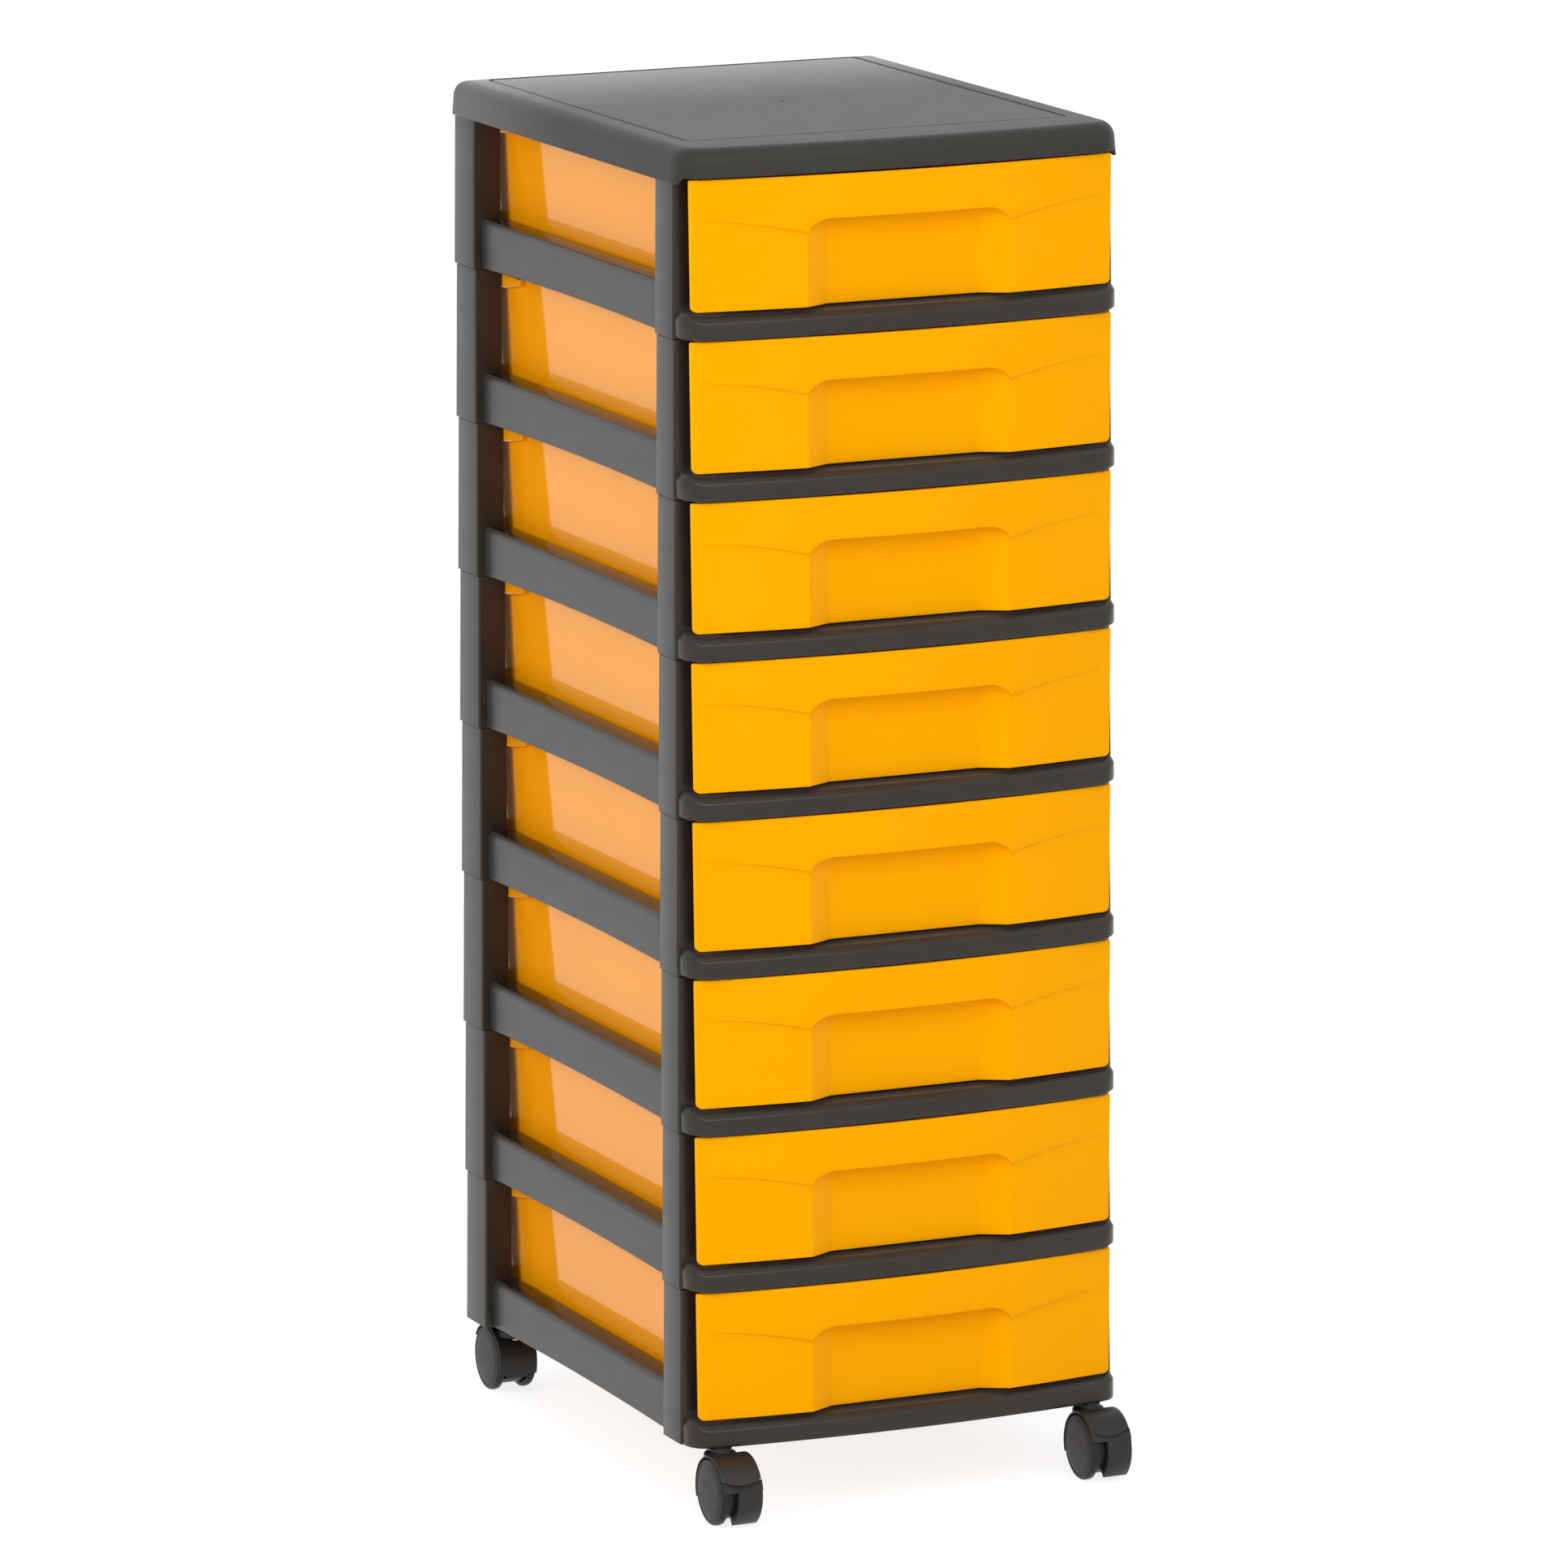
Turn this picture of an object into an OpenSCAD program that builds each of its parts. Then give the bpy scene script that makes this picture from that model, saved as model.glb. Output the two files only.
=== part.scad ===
// Drawer tower on casters: open frames that stack and plug into each other, one pull-out
// drawer in each frame, a cover on the top frame and four twin-wheel swivel casters below.
// Origin: centre of the footprint, on the floor. X to the right, Y to the back, Z up.

/* [Stack] */
// Number of frames, each with its drawer
tier_count = 8; // [2:1:8]
// Height that one frame adds to the stack
tier_pitch = 95; // [86:1:120]
// Outer width of a frame
frame_w = 284; // [250:1:340]
// Depth of a frame from its front line to its back face
frame_d = 352; // [300:1:420]
// How far the front rail bows out in the middle
front_bow = 9.6; // [5:0.2:14]

/* [Frame] */
// Wall of the posts and rails
frame_wall = 2.2; // [1.8:0.1:2.8]
// Set-back of the front posts behind the front line
post_setback = 13; // [11:0.5:16]
// Depth of a front post, seen from the side
front_post_d = 26; // [20:1:34]
// Width of a front post, seen from the front
front_post_w = 16; // [14:0.5:16]
// Depth of a rear post, seen from the side
rear_post_d = 34; // [28:1:40]
// Width of a rear post, seen from the back
rear_post_w = 18.5; // [17.5:0.5:20]
// Radius of the posts' outer corners
post_r = 3; // [2.5:0.5:5]
// Height of the front rail
front_rail_h = 14; // [12:0.5:15]
// Height of the bevel along the front rail's upper edge
front_bevel_h = 3.2; // [2:0.2:4]
// Radius of the front rail's corners in plan
rail_corner_r = 12; // [9:0.5:14]
// Height of the side rails
side_rail_h = 30; // [24:1:34]
// Set-back of the side rails from the posts' outer face
side_rail_inset = 7; // [5:0.5:9]
// Width over which a side rail's top ledge runs inwards
ledge_w = 15.5; // [15:0.5:16]
// Rise of the arch under each side rail
arch_rise = 2; // [1:0.5:4]
// Height of the runner's upper face above the frame's underside
runner_z = 16.7; // [16.2:0.1:20]
// Width of the runner under a drawer
runner_w = 12; // [8:0.5:14]
// Depth of the rear rail
rear_rail_d = 6; // [5:0.5:8]
// Step by which a frame's upper rim is narrower than the skirt above it
rim_step = 1.2; // [0.8:0.1:1.4]
// Height of the narrower rim
rim_h = 10; // [6:1:14]
// Height by which the spigots stand into the frame above
spigot_h = 8; // [5:0.5:11]
// Gap round a spigot
spigot_gap = 0.2; // [0.1:0.05:0.4]

/* [Drawer] */
// Gap between a drawer's side and the ledge beside it
drawer_side_gap = 2.4; // [0.5:0.1:4]
// Gap between a drawer's back and the rear rail
drawer_back_gap = 1.5; // [0.5:0.5:12]
// How much narrower than its top the drawer's floor is on each side
drawer_taper = 3; // [1:0.5:6]
// Wall of the drawer
drawer_wall = 1.8; // [1.4:0.1:2.4]
// Gap between a drawer's rim and the frame above it
drawer_top_gap = 4; // [3:0.5:20]
// How far the drawer's front stays in from each side of the frame
drawer_front_in = 6.3; // [5:0.1:10]
// Gap between the drawer's front and the rail above it
front_top_gap = 0.5; // [0.3:0.1:3]
// How far the drawer's front hangs below its floor
front_drop = 0.5; // [0.2:0.1:1.5]
// Thickness of the drawer's front
drawer_front_t = 2.6; // [2:0.1:3.2]
// How far the drawer's front bows out in the middle
drawer_bow = 13.5; // [8:0.5:16]
// Set-back of the front's side edges behind the frame's front line
drawer_edge_y = 3; // [2:0.5:5]
// Radius of the drawer's rear corners
drawer_corner_r = 10; // [6:1:20]
// Length of the lug at the rear end of each side wall
lug_l = 30; // [15:1:50]
// Height of the lug, down from the wall's top
lug_h = 6.7; // [3:0.1:8]
// Width of the finger recess in front, at the panel's face
recess_w = 128; // [100:1:150]
// Width of the recess at its floor
recess_floor_w = 99; // [70:1:110]
// Height of the recess above the panel's lower edge, in the middle
recess_h = 52; // [35:1:54]
// Height of the recess at its shoulders
recess_side_h = 44; // [30:1:48]
// Depth of the recess's floor behind the frame's front line
recess_floor_y = 2.6; // [0:0.2:5]
// Travel of a drawer's underside above its runner, and of its back before the rear posts
slide_gap = 0.3; // [0.2:0.05:0.5]

/* [Cover] */
// Height of the cover
cover_h = 21; // [17:0.5:26]
// Overlap of the cover's skirt down over the top frame
cover_drop = 3.5; // [2:0.5:5]
// Overhang of the cover past the frames
cover_over = 1.2; // [1:0.1:2]
// Wall of the cover
cover_wall = 2.2; // [2:0.1:3]
// Radius of the cover's rounded upper edge
cover_edge_r = 10; // [6:0.5:12]
// Distance of the sunk top panel from the cover's side edges
panel_margin = 21; // [13:0.5:30]
// Distance of the sunk top panel from the frame's front line
panel_front = 36; // [20:1:60]
// Depth of the sunk top panel
panel_sink = 0.8; // [0.4:0.1:1.2]
// Height by which the cover's front edge is cut higher than its sides
cover_front_cut = 3.8; // [3:0.2:5]

/* [Caster] */
// Height of the frames above the floor
caster_h = 44; // [43:0.5:50]
// Diameter of the wheels
wheel_d = 40; // [38:0.5:40]
// Width of one wheel
wheel_t = 4.8; // [4.6:0.1:5]
// Overall width of a caster
caster_w = 26; // [25.5:0.5:30]
// Distance of the wheel axle from the stem
caster_trail = 13; // [12:0.5:14]
// Diameter of the stem
stem_d = 8; // [6:0.5:8]
// Length of stem inside the frame's socket
stem_in = 12; // [8:0.5:12.5]
// Diameter of the axle
axle_d = 5; // [4:0.5:5]
// Radial clearance of the pins that turn
pin_gap = 0.05; // [0.02:0.01:0.1]
// Wall of the hood
hood_wall = 1.2; // [1:0.1:1.4]
// Radial gap between wheel and hood
hood_gap = 0.6; // [0.5:0.1:0.8]
// Diameter of the hood's neck
neck_d = 13.4; // [12:0.2:15]
// Inset of the stems from the frame's side
stem_side_in = 20.6; // [19:0.2:24]
// Distance of the front stems behind the front line
stem_front_y = 3.5; // [3:0.1:4]
// Distance of the rear stems before the back face
stem_back_in = 26.4; // [22:0.2:28]
// Angle of the hood's front edge above the axle
hood_front_a = 31; // [28:1:36]
// Angle of the hood's rear edge below the axle
hood_rear_a = 20; // [15:1:30]
// Angle from the brake lever's tread down to the end of its flap
flap_end_a = 50; // [40:1:52]
// Angle that the brake lever's tread takes up
tread_a = 6; // [5:0.5:8]
// How far the tread stands out past the hood
tread_out = 1.4; // [1:0.1:2]
// Width of the flap in front of one wheel
flap_w = 15.8; // [14:0.2:16.5]
// Angle by which the front left brake is pressed down
left_brake_a = 10; // [0:1:12]

/* [Hidden] */
$fn = 64;
TINY = 0.01;
RUN_GAP = 0.3;
THIN_WALL = 1;
ARC_STEPS = 24;
CORNER_STEPS = 6;

half_w = frame_w / 2;
ledge_in_x = half_w - side_rail_inset - ledge_w;
drawer_front_w = frame_w - 2 * drawer_front_in;

// The runner carries the drawer's floor; the front hangs just below that floor.
drawer_floor_z = runner_z + slide_gap;
drawer_top_z = tier_pitch - drawer_top_gap;
drawer_side_h = drawer_top_z - drawer_floor_z;
drawer_front_z = drawer_floor_z - front_drop;
drawer_back_y = frame_d - rear_rail_d - drawer_back_gap;
// The side widens towards its rim, so the gap counts at the ledge's height.
drawer_half_w = ledge_in_x - drawer_side_gap
    + drawer_taper * (drawer_top_z - side_rail_h) / drawer_side_h;
lug_out_x = half_w - rear_post_w - RUN_GAP;

// Casters: axle height, hood radii and the widths between the two wheels.
wheel_r = wheel_d / 2;
axle_z = wheel_r;
hood_in_r = wheel_r + hood_gap;
hood_out_r = hood_in_r + hood_wall;
hood_half_w = caster_w / 2 - 0.4;
wheel_in_x = caster_w / 2 - wheel_t;
core_half_w = wheel_in_x - 0.6;
arm_t = 2;
arm_in_x = core_half_w - arm_t - 0.3;
hub_r = 6;
bore_depth = 3.5;
axle_in = bore_depth - 0.3;
neck_top_z = caster_h - 0.4;
stem_z = axle_z + 6;
stem_bore_z = stem_z - RUN_GAP;
core_below = 10.4;
core_front = 14;
tooth_count = 16;
tread_ridges = 11;
ridge_w = 0.9;
tread_r = hood_out_r + tread_out;
// Angles of the tread's upper and lower edge above the axle, brake released.
tread_top_a = hood_front_a - 0.6;
tread_low_a = tread_top_a - tread_a;

// Depth positions: the footprint runs from the front hoods to the rear wheels.
stem_rear_y = frame_d - stem_back_in;
front_most = stem_front_y - caster_trail
    - max(hood_out_r, tread_r * cos(tread_low_a - left_brake_a));
rear_most = max(frame_d + cover_over, stem_rear_y + caster_trail + wheel_r);
front_y = -(front_most + rear_most) / 2;
stem_x = half_w - stem_side_in;
stack_top = caster_h + tier_count * tier_pitch;

CORNERS = ["front_left", "front_right", "rear_left", "rear_right"];
BRAKED = ["front_left", "front_right"];
FRAMES = [for (i = [1:tier_count]) str("frame_", i)];
DRAWERS = [for (i = [1:tier_count]) str("drawer_", i)];

// ---------------------------------------------------------------- outlines

// Points on an arc round c, from angle a0 to a1, with 0 towards +X.
function arc(c, r, a0, a1, n) =
    [for (i = [0:n]) let (a = a0 + (a1 - a0) * i / n) c + r * [cos(a), sin(a)]];

// Radius of an arc with the given half width and rise.
function bow_r(hw, bow) = (hw * hw + bow * bow) / (2 * bow);

// Y of a bowed front at x: 0 at the ends, -bow in the middle.
function bow_y(hw, bow, x) =
    let (r = bow_r(hw, bow)) r - bow - sqrt(r * r - x * x);

// Closed plan outline with a bowed front, corners tangent to the bow and a straight back.
function bow_plan(hw, depth, bow, r, rb, inset) =
    let (rr = bow_r(hw, bow),
         yc = rr - bow,
         a = asin((hw - r) / (rr - r)),
         cy = yc - sqrt(pow(rr - r, 2) - pow(hw - r, 2)),
         b = max(rb, inset + TINY))
    concat(
        arc([0, yc], rr - inset, -90 - a, -90 + a, ARC_STEPS),
        arc([hw - r, cy], r - inset, -90 + a, 0, CORNER_STEPS),
        arc([hw - b, depth - b], b - inset, 0, 90, CORNER_STEPS),
        arc([b - hw, depth - b], b - inset, 90, 180, CORNER_STEPS),
        arc([r - hw, cy], r - inset, 180, 270 - a, CORNER_STEPS));

// Plan outline of a bowed plate of thickness t.
function bow_band(hw, bow, t) =
    let (rr = bow_r(hw, bow), yc = rr - bow, a = asin(hw / rr), b = asin(hw / (rr - t)))
    concat(
        arc([0, yc], rr, -90 - a, -90 + a, ARC_STEPS),
        arc([0, yc], rr - t, -90 + b, -90 - b, ARC_STEPS));

// Rectangle from lo to hi with rounded corners.
function round_rect(lo, hi, r) = concat(
    arc([hi[0] - r, lo[1] + r], r, -90, 0, CORNER_STEPS),
    arc([hi[0] - r, hi[1] - r], r, 0, 90, CORNER_STEPS),
    arc([lo[0] + r, hi[1] - r], r, 90, 180, CORNER_STEPS),
    arc([lo[0] + r, lo[1] + r], r, 180, 270, CORNER_STEPS));

function is_rear(c) = c == "rear_left" || c == "rear_right";
function side_of(c) = (c == "front_left" || c == "rear_left") ? -1 : 1;

module slab(points, z0, z1) {
    translate([0, 0, z0]) linear_extrude(z1 - z0) polygon(points);
}

// Slab whose outline grows from the first size to the second, both as [x, y] from the origin.
module draft_slab(points, z0, z1, from, to) {
    translate([0, 0, z0])
        linear_extrude(z1 - z0, scale = [to[0] / from[0], to[1] / from[1]], slices = 1)
        polygon(points);
}

module both_sides() {
    for (s = [0, 1]) mirror([s, 0, 0]) children();
}

// Section polygon in X and Z, run along Y from y0 to y1.
module run_y(points, y0, y1) {
    translate([0, y1, 0]) rotate([90, 0, 0]) linear_extrude(y1 - y0) polygon(points);
}

// Section polygon in Y and Z, run along X from x0 to x1.
module run_x(points, x0, x1) {
    translate([x0, 0, 0]) rotate([90, 0, 90]) linear_extrude(x1 - x0) polygon(points);
}

// ---------------------------------------------------------------- frame

// One hollow post with its narrower rim and the spigot that enters the frame above.
// lo and hi are its outer corners; from_y is where the spigot may begin.
module post(lo, hi, from_y) {
    w = frame_wall;
    s = rim_step;
    c = w + spigot_gap;
    top = tier_pitch;
    rim_lo = [lo[0], lo[1] + s];
    rim_hi = [hi[0] - s, hi[1] - s];
    spig_lo = [lo[0] + c, max(lo[1] + c, from_y)];
    spig_hi = [hi[0] - c, hi[1] - c];
    difference() {
        slab(round_rect(lo, hi, post_r), 0, top - rim_h);
        slab(round_rect(lo + [w, w], hi - [w, w], post_r - w), -1, top - rim_h + 1);
    }
    difference() {
        union() {
            slab(round_rect(rim_lo, rim_hi, post_r), top - rim_h - w, top);
            slab(round_rect(spig_lo, spig_hi, THIN_WALL), top - rim_h, top + spigot_h);
        }
        slab(round_rect(spig_lo + [w, w], spig_hi - [w, w], THIN_WALL / 2),
            top - rim_h - w - 1, top + spigot_h + 1);
    }
}

// Front rail: a bowed channel, open below, with a bevel along its upper edge.
module front_rail() {
    back = post_setback + front_post_d;
    function plan(inset) =
        bow_plan(half_w, back, front_bow, rail_corner_r, frame_wall + TINY, inset);
    flat_h = front_rail_h - front_bevel_h;
    difference() {
        hull() {
            slab(plan(0), 0, flat_h);
            slab(plan(front_bevel_h * 1.5), flat_h, front_rail_h);
        }
        slab(bow_plan(half_w, back + frame_wall + 1, front_bow, rail_corner_r,
            frame_wall + 1, frame_wall), -1, flat_h - frame_wall + 1);
        // Room for the deck to end behind the posts' front face between the posts.
        translate([-half_w + front_post_w, post_setback + frame_wall * 2, -1])
            cube([frame_w - 2 * front_post_w, back, front_rail_h + 2]);
        // The posts' own hollow stays open.
        both_sides() translate([half_w - front_post_w + frame_wall,
            post_setback + frame_wall, -1])
            cube([front_post_w - 2 * frame_wall, front_post_d, front_rail_h + 2]);
    }
}

// Side rail: outer wall, ledge, inner wall and the runner that carries a drawer.
module side_rail() {
    w = frame_wall;
    x0 = half_w - side_rail_inset;
    x1 = ledge_in_x;
    x2 = x1 - runner_w;
    r = w + 1;
    h = side_rail_h;
    y0 = post_setback + front_post_d - w;
    y1 = frame_d - rear_post_d + w;
    span = y1 - y0 - 2 * w;
    arch_r = (span * span / 4 + arch_rise * arch_rise) / (2 * arch_rise);
    section = concat(
        [[x0, 0]],
        arc([x0 - r, h - r], r, 0, 90, CORNER_STEPS),
        [[x1, h], [x1, runner_z], [x2, runner_z], [x2, runner_z - w],
         [x1 + w, runner_z - w], [x1 + w, h - w], [x0 - w, h - w], [x0 - w, 0]]);
    mid = (y0 + y1) / 2;
    arch = concat([[y0 + w, -1]],
        arc([mid, arch_rise - arch_r], arch_r, 90 + asin(span / 2 / arch_r),
            90 - asin(span / 2 / arch_r), ARC_STEPS), [[y1 - w, -1]]);
    difference() {
        run_y(section, y0, y1);
        run_x(arch, x2 - 1, x0 + 1);
    }
}

// Rear rail: upright wall with a short ledge on top.
module rear_rail() {
    w = frame_wall;
    y0 = frame_d - rear_rail_d;
    section = [[frame_d, 0], [frame_d, side_rail_h], [y0, side_rail_h],
        [y0, side_rail_h - w], [frame_d - w, side_rail_h - w], [frame_d - w, 0]];
    x = half_w - rear_post_w + w;
    run_x(section, -x, x);
}

// Socket for a caster's stem, on the frame's underside.
module socket(y) {
    r = stem_d / 2;
    both_sides() translate([stem_x, y, 0]) children();
}

module frame_body() {
    boss_r = stem_d / 2 + 1.8;
    back = frame_d;
    difference() {
        union() {
            both_sides() {
                post([half_w - front_post_w, post_setback],
                    [half_w, post_setback + front_post_d], 0);
                post([half_w - rear_post_w, back - rear_post_d], [half_w, back],
                    stem_rear_y + boss_r + RUN_GAP);
                side_rail();
            }
            front_rail();
            rear_rail();
            socket(stem_front_y) cylinder(r = boss_r, h = front_rail_h - TINY);
            socket(stem_rear_y) cylinder(r = boss_r, h = front_rail_h);
        }
        socket(stem_front_y) translate([0, 0, -1])
            cylinder(d = stem_d, h = stem_in + 1.3);
        socket(stem_rear_y) translate([0, 0, -1])
            cylinder(d = stem_d, h = front_rail_h + 2);
    }
}

module frame(tier) {
    color("#4b4946") translate([0, front_y, caster_h + (tier - 1) * tier_pitch])
        frame_body();
}

// ---------------------------------------------------------------- drawer

// The finger recess's hollow, grown by a wall; the bottom stays open.
module recess(grow) {
    hw = recess_w / 2;
    fw = recess_floor_w / 2 + grow / 2;
    y_face = drawer_edge_y + bow_y(drawer_front_w / 2, drawer_bow, hw);
    face = y_face + drawer_front_t * (grow > 0 ? 1 : 0);
    z0 = drawer_front_z;
    top = z0 + recess_h + grow;
    side = z0 + recess_side_h + grow;
    out = drawer_bow * 2;
    intersection() {
        slab([[-hw - grow, -out], [hw + grow, -out], [hw + grow, face],
            [fw, recess_floor_y + grow], [-fw, recess_floor_y + grow],
            [-hw - grow, face]], z0 - 1, top + 1);
        run_y(concat([[-hw - grow - 2, z0 - 1], [hw + grow + 2, z0 - 1],
                [hw + grow + 2, side]],
            arc([hw - 13, top - 14], 14, 35, 90, CORNER_STEPS),
            arc([13 - hw, top - 14], 14, 90, 145, CORNER_STEPS),
            [[-hw - grow - 2, side]]), -out, drawer_bow * 2);
    }
}

// The drawer's box, drafted: wide at the top, narrower at the floor.
module drawer_box() {
    w = drawer_wall;
    z0 = drawer_floor_z;
    over = 1;
    top = [drawer_half_w, drawer_back_y];
    low = top - [drawer_taper, drawer_taper];
    // Size of the box a little above its rim, where the cut for the opening ends.
    high = low + (top - low) * (drawer_side_h + over) / drawer_side_h;
    r = drawer_corner_r;
    start = -2 * drawer_bow;
    function plan(inset) = let (x = low[0], y = low[1]) concat(
        [[x - inset, start]],
        arc([x - r, y - r], r - inset, 0, 90, CORNER_STEPS),
        arc([r - x, y - r], r - inset, 90, 180, CORNER_STEPS),
        [[inset - x, start]]);
    difference() {
        draft_slab(plan(0), z0, drawer_top_z + over, low, high);
        intersection() {
            draft_slab(plan(w), z0, drawer_top_z + over, low - [w, w], high - [w, w]);
            slab([[-half_w, start], [half_w, start], [half_w, frame_d], [-half_w, frame_d]],
                z0 + w, drawer_top_z + 2 * over);
        }
    }
}

module drawer_body() {
    fw = drawer_front_w / 2;
    zf = tier_pitch - front_top_gap;
    lug_y = drawer_back_y - drawer_corner_r - lug_l;
    lug_x = drawer_half_w - drawer_wall + TINY;
    front = [for (p = bow_band(fw, drawer_bow, drawer_front_t)) p + [0, drawer_edge_y]];
    // Everything behind the front's inner face.
    behind = concat(
        [for (i = [0:ARC_STEPS]) let (x = -fw + 2 * fw * i / ARC_STEPS)
            [x, drawer_edge_y + bow_y(fw, drawer_bow, x) + drawer_front_t - TINY]],
        [[fw, drawer_back_y + 1], [-fw, drawer_back_y + 1]]);
    difference() {
        union() {
            intersection() {
                drawer_box();
                slab(behind, drawer_floor_z, drawer_top_z);
            }
            // Lug at the rear end of each side.
            both_sides() translate([lug_x, lug_y, drawer_top_z - lug_h])
                cube([lug_out_x - lug_x, lug_l, lug_h]);
            // Bowed front.
            slab(front, drawer_front_z, zf);
            // Back of the finger recess.
            intersection() {
                recess(drawer_front_t);
                slab(behind, drawer_front_z, zf);
            }
        }
        recess(0);
    }
}

module drawer(tier) {
    color("#ffb400") translate([0, front_y, caster_h + (tier - 1) * tier_pitch])
        drawer_body();
}

// ---------------------------------------------------------------- cover

function cover_plan(inset) =
    let (hw = half_w + cover_over, d = frame_d + cover_over)
    bow_plan(hw, d, front_bow, rail_corner_r + cover_over, post_r + cover_over, inset);

// Plan outline of the cover's sunk panel.
function panel_plan() = round_rect(
    [panel_margin - half_w - cover_over, panel_front],
    [half_w + cover_over - panel_margin, frame_d - panel_margin / 2], 4);

// Cover: rounded shell with a sunk top panel, stiffened by ribs and seated on the
// top frame's spigots by four pads.
module top_cover() {
    w = cover_wall;
    r = cover_edge_r;
    steps = 5;
    seat_z = cover_drop + spigot_h;
    rib_z = seat_z + RUN_GAP;
    hollow_z = cover_h - r + 3;
    pad_w = rear_post_w + 4;
    color("#57534f") translate([0, front_y, stack_top - cover_drop])
    difference() {
        hull() {
            slab(cover_plan(0), 0, cover_h - r);
            for (i = [1:steps]) let (a = 90 * i / steps)
                slab(cover_plan(r * (1 - cos(a))), 0, cover_h - r + r * sin(a));
        }
        // Hollow below the top plate, between the ribs and the pads.
        difference() {
            union() {
                slab(cover_plan(w), -1, hollow_z);
                slab(panel_plan(), hollow_z - 1, cover_h - w - panel_sink);
            }
            for (x = [-half_w / 3, half_w / 3])
                translate([x - w / 2, 0, rib_z]) cube([w, frame_d, cover_h]);
            for (y = [frame_d / 4, frame_d / 2, frame_d * 3 / 4])
                translate([-half_w, y - w / 2, rib_z]) cube([frame_w, w, cover_h]);
            both_sides() {
                translate([half_w - pad_w, post_setback, seat_z])
                    cube([pad_w, front_post_d, cover_h]);
                translate([half_w - pad_w, frame_d - rear_post_d, seat_z])
                    cube([pad_w, rear_post_d, cover_h]);
            }
        }
        // Sunk panel.
        slab(panel_plan(), cover_h - panel_sink, cover_h + 1);
        // Front edge cut higher than the sides.
        translate([-half_w - 2, -front_bow * 2, -1])
            cube([frame_w + 4, front_bow * 2 + 6, cover_front_cut + 1]);
    }
}

// ---------------------------------------------------------------- casters

// Places a caster: origin on the stem's axis at the floor, wheels towards -Y in front
// and towards +Y at the back.
module at_corner(c) {
    translate([side_of(c) * stem_x, front_y + (is_rear(c) ? stem_rear_y : stem_front_y), 0])
        rotate(is_rear(c) ? 180 : 0) children();
}

// Puts its children on the axle, turned so that their Z axis points along +X.
module on_axle(x) {
    translate([x, -caster_trail, axle_z]) rotate([90, 0, 90]) children();
}

module caster_stem(c) {
    color("#a8a8a8") at_corner(c) translate([0, 0, stem_z])
        cylinder(d = stem_d - 2 * pin_gap, h = caster_h + stem_in - stem_z);
}

module caster_axle(c) {
    color("#9a9a9a") at_corner(c)
        on_axle(-wheel_in_x - axle_in) cylinder(d = axle_d, h = 2 * (wheel_in_x + axle_in));
}

// Sector of a disc from angle a0 to a1, measured in the on_axle plane.
module sector(a0, a1, r) {
    polygon(concat([[0, 0]], arc([0, 0], r, a0, a1, 12)));
}

// Ring segment between two radii, along X from x0 to x1. Angles turn from +Y over +Z.
module ring_segment(r_in, r_out, a0, a1, x0, x1) {
    difference() {
        intersection() {
            on_axle(x0) cylinder(r = r_out, h = x1 - x0);
            on_axle(x0) linear_extrude(x1 - x0) sector(a0, a1, 3 * r_out);
        }
        on_axle(x0 - 1) cylinder(r = r_in, h = x1 - x0 + 2);
    }
}

// Hood: a roof over both wheels, a core between them and a neck up to the frame.
module caster_hood(c) {
    bore = stem_d / 2;
    color("#3c3935") at_corner(c) difference() {
        union() {
            ring_segment(hood_in_r, hood_out_r, -hood_rear_a, 90,
                -hood_half_w, hood_half_w);
            ring_segment(hood_in_r, hood_out_r, 89, 180 - hood_front_a,
                -hood_half_w, hood_half_w);
            // Core between the wheels, narrower in front where the lever's arm runs.
            intersection() {
                on_axle(-core_half_w) cylinder(r = hood_in_r + TINY, h = 2 * core_half_w);
                union() {
                    translate([-core_half_w, -caster_trail - core_front,
                        axle_z - core_below])
                        cube([core_half_w + arm_in_x, core_front + hood_out_r,
                            core_below + hood_out_r]);
                    translate([-core_half_w, -caster_trail + hub_r + 1,
                        axle_z - core_below])
                        cube([2 * core_half_w, hood_out_r, core_below + hood_out_r]);
                }
            }
            // Spacer that stands in for the lever's hub where there is no brake.
            if (is_rear(c)) on_axle(0) cylinder(r = hub_r, h = core_half_w);
            // Neck.
            translate([0, 0, axle_z + hood_in_r - 8])
                cylinder(d = neck_d, h = neck_top_z - axle_z - hood_in_r + 8);
        }
        translate([0, 0, stem_bore_z]) cylinder(r = bore, h = caster_h);
        on_axle(-hood_half_w) cylinder(d = axle_d, h = 2 * hood_half_w);
    }
}

// Wheel: closed outer disc, round tread, hollow inner side with brake teeth and a blind bore.
// side is +1 for the wheel towards +X of the caster, -1 for the other.
module wheel_shape(side) {
    t = wheel_t;
    r = wheel_r;
    e = 2;
    rim_in = r - 2.6;
    // Profile as radius and distance from the inner face.
    profile = concat(
        [[0, bore_depth], [axle_d / 2 + pin_gap, bore_depth],
         [axle_d / 2 + pin_gap, -0.3], [hub_r, -0.3], [hub_r, 2.6], [rim_in, 2.6], [rim_in, 0], [r - 0.6, 0], [r, 0.6]],
        arc([r - e, t - e], e, 0, 90, 5),
        [[rim_in + 0.2, t], [rim_in - 0.2, t - 0.3], [rim_in - 1, t], [0, t + 0.4]]);
    mirror([side < 0 ? 1 : 0, 0, 0]) translate([wheel_in_x, 0, 0]) rotate([90, 0, 90])
    union() {
        rotate_extrude() polygon(profile);
        for (i = [0:tooth_count - 1]) rotate(360 * i / tooth_count)
            translate([rim_in - 4, -0.5, 0.8]) cube([4.4, 1, 2]);
    }
}

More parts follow.
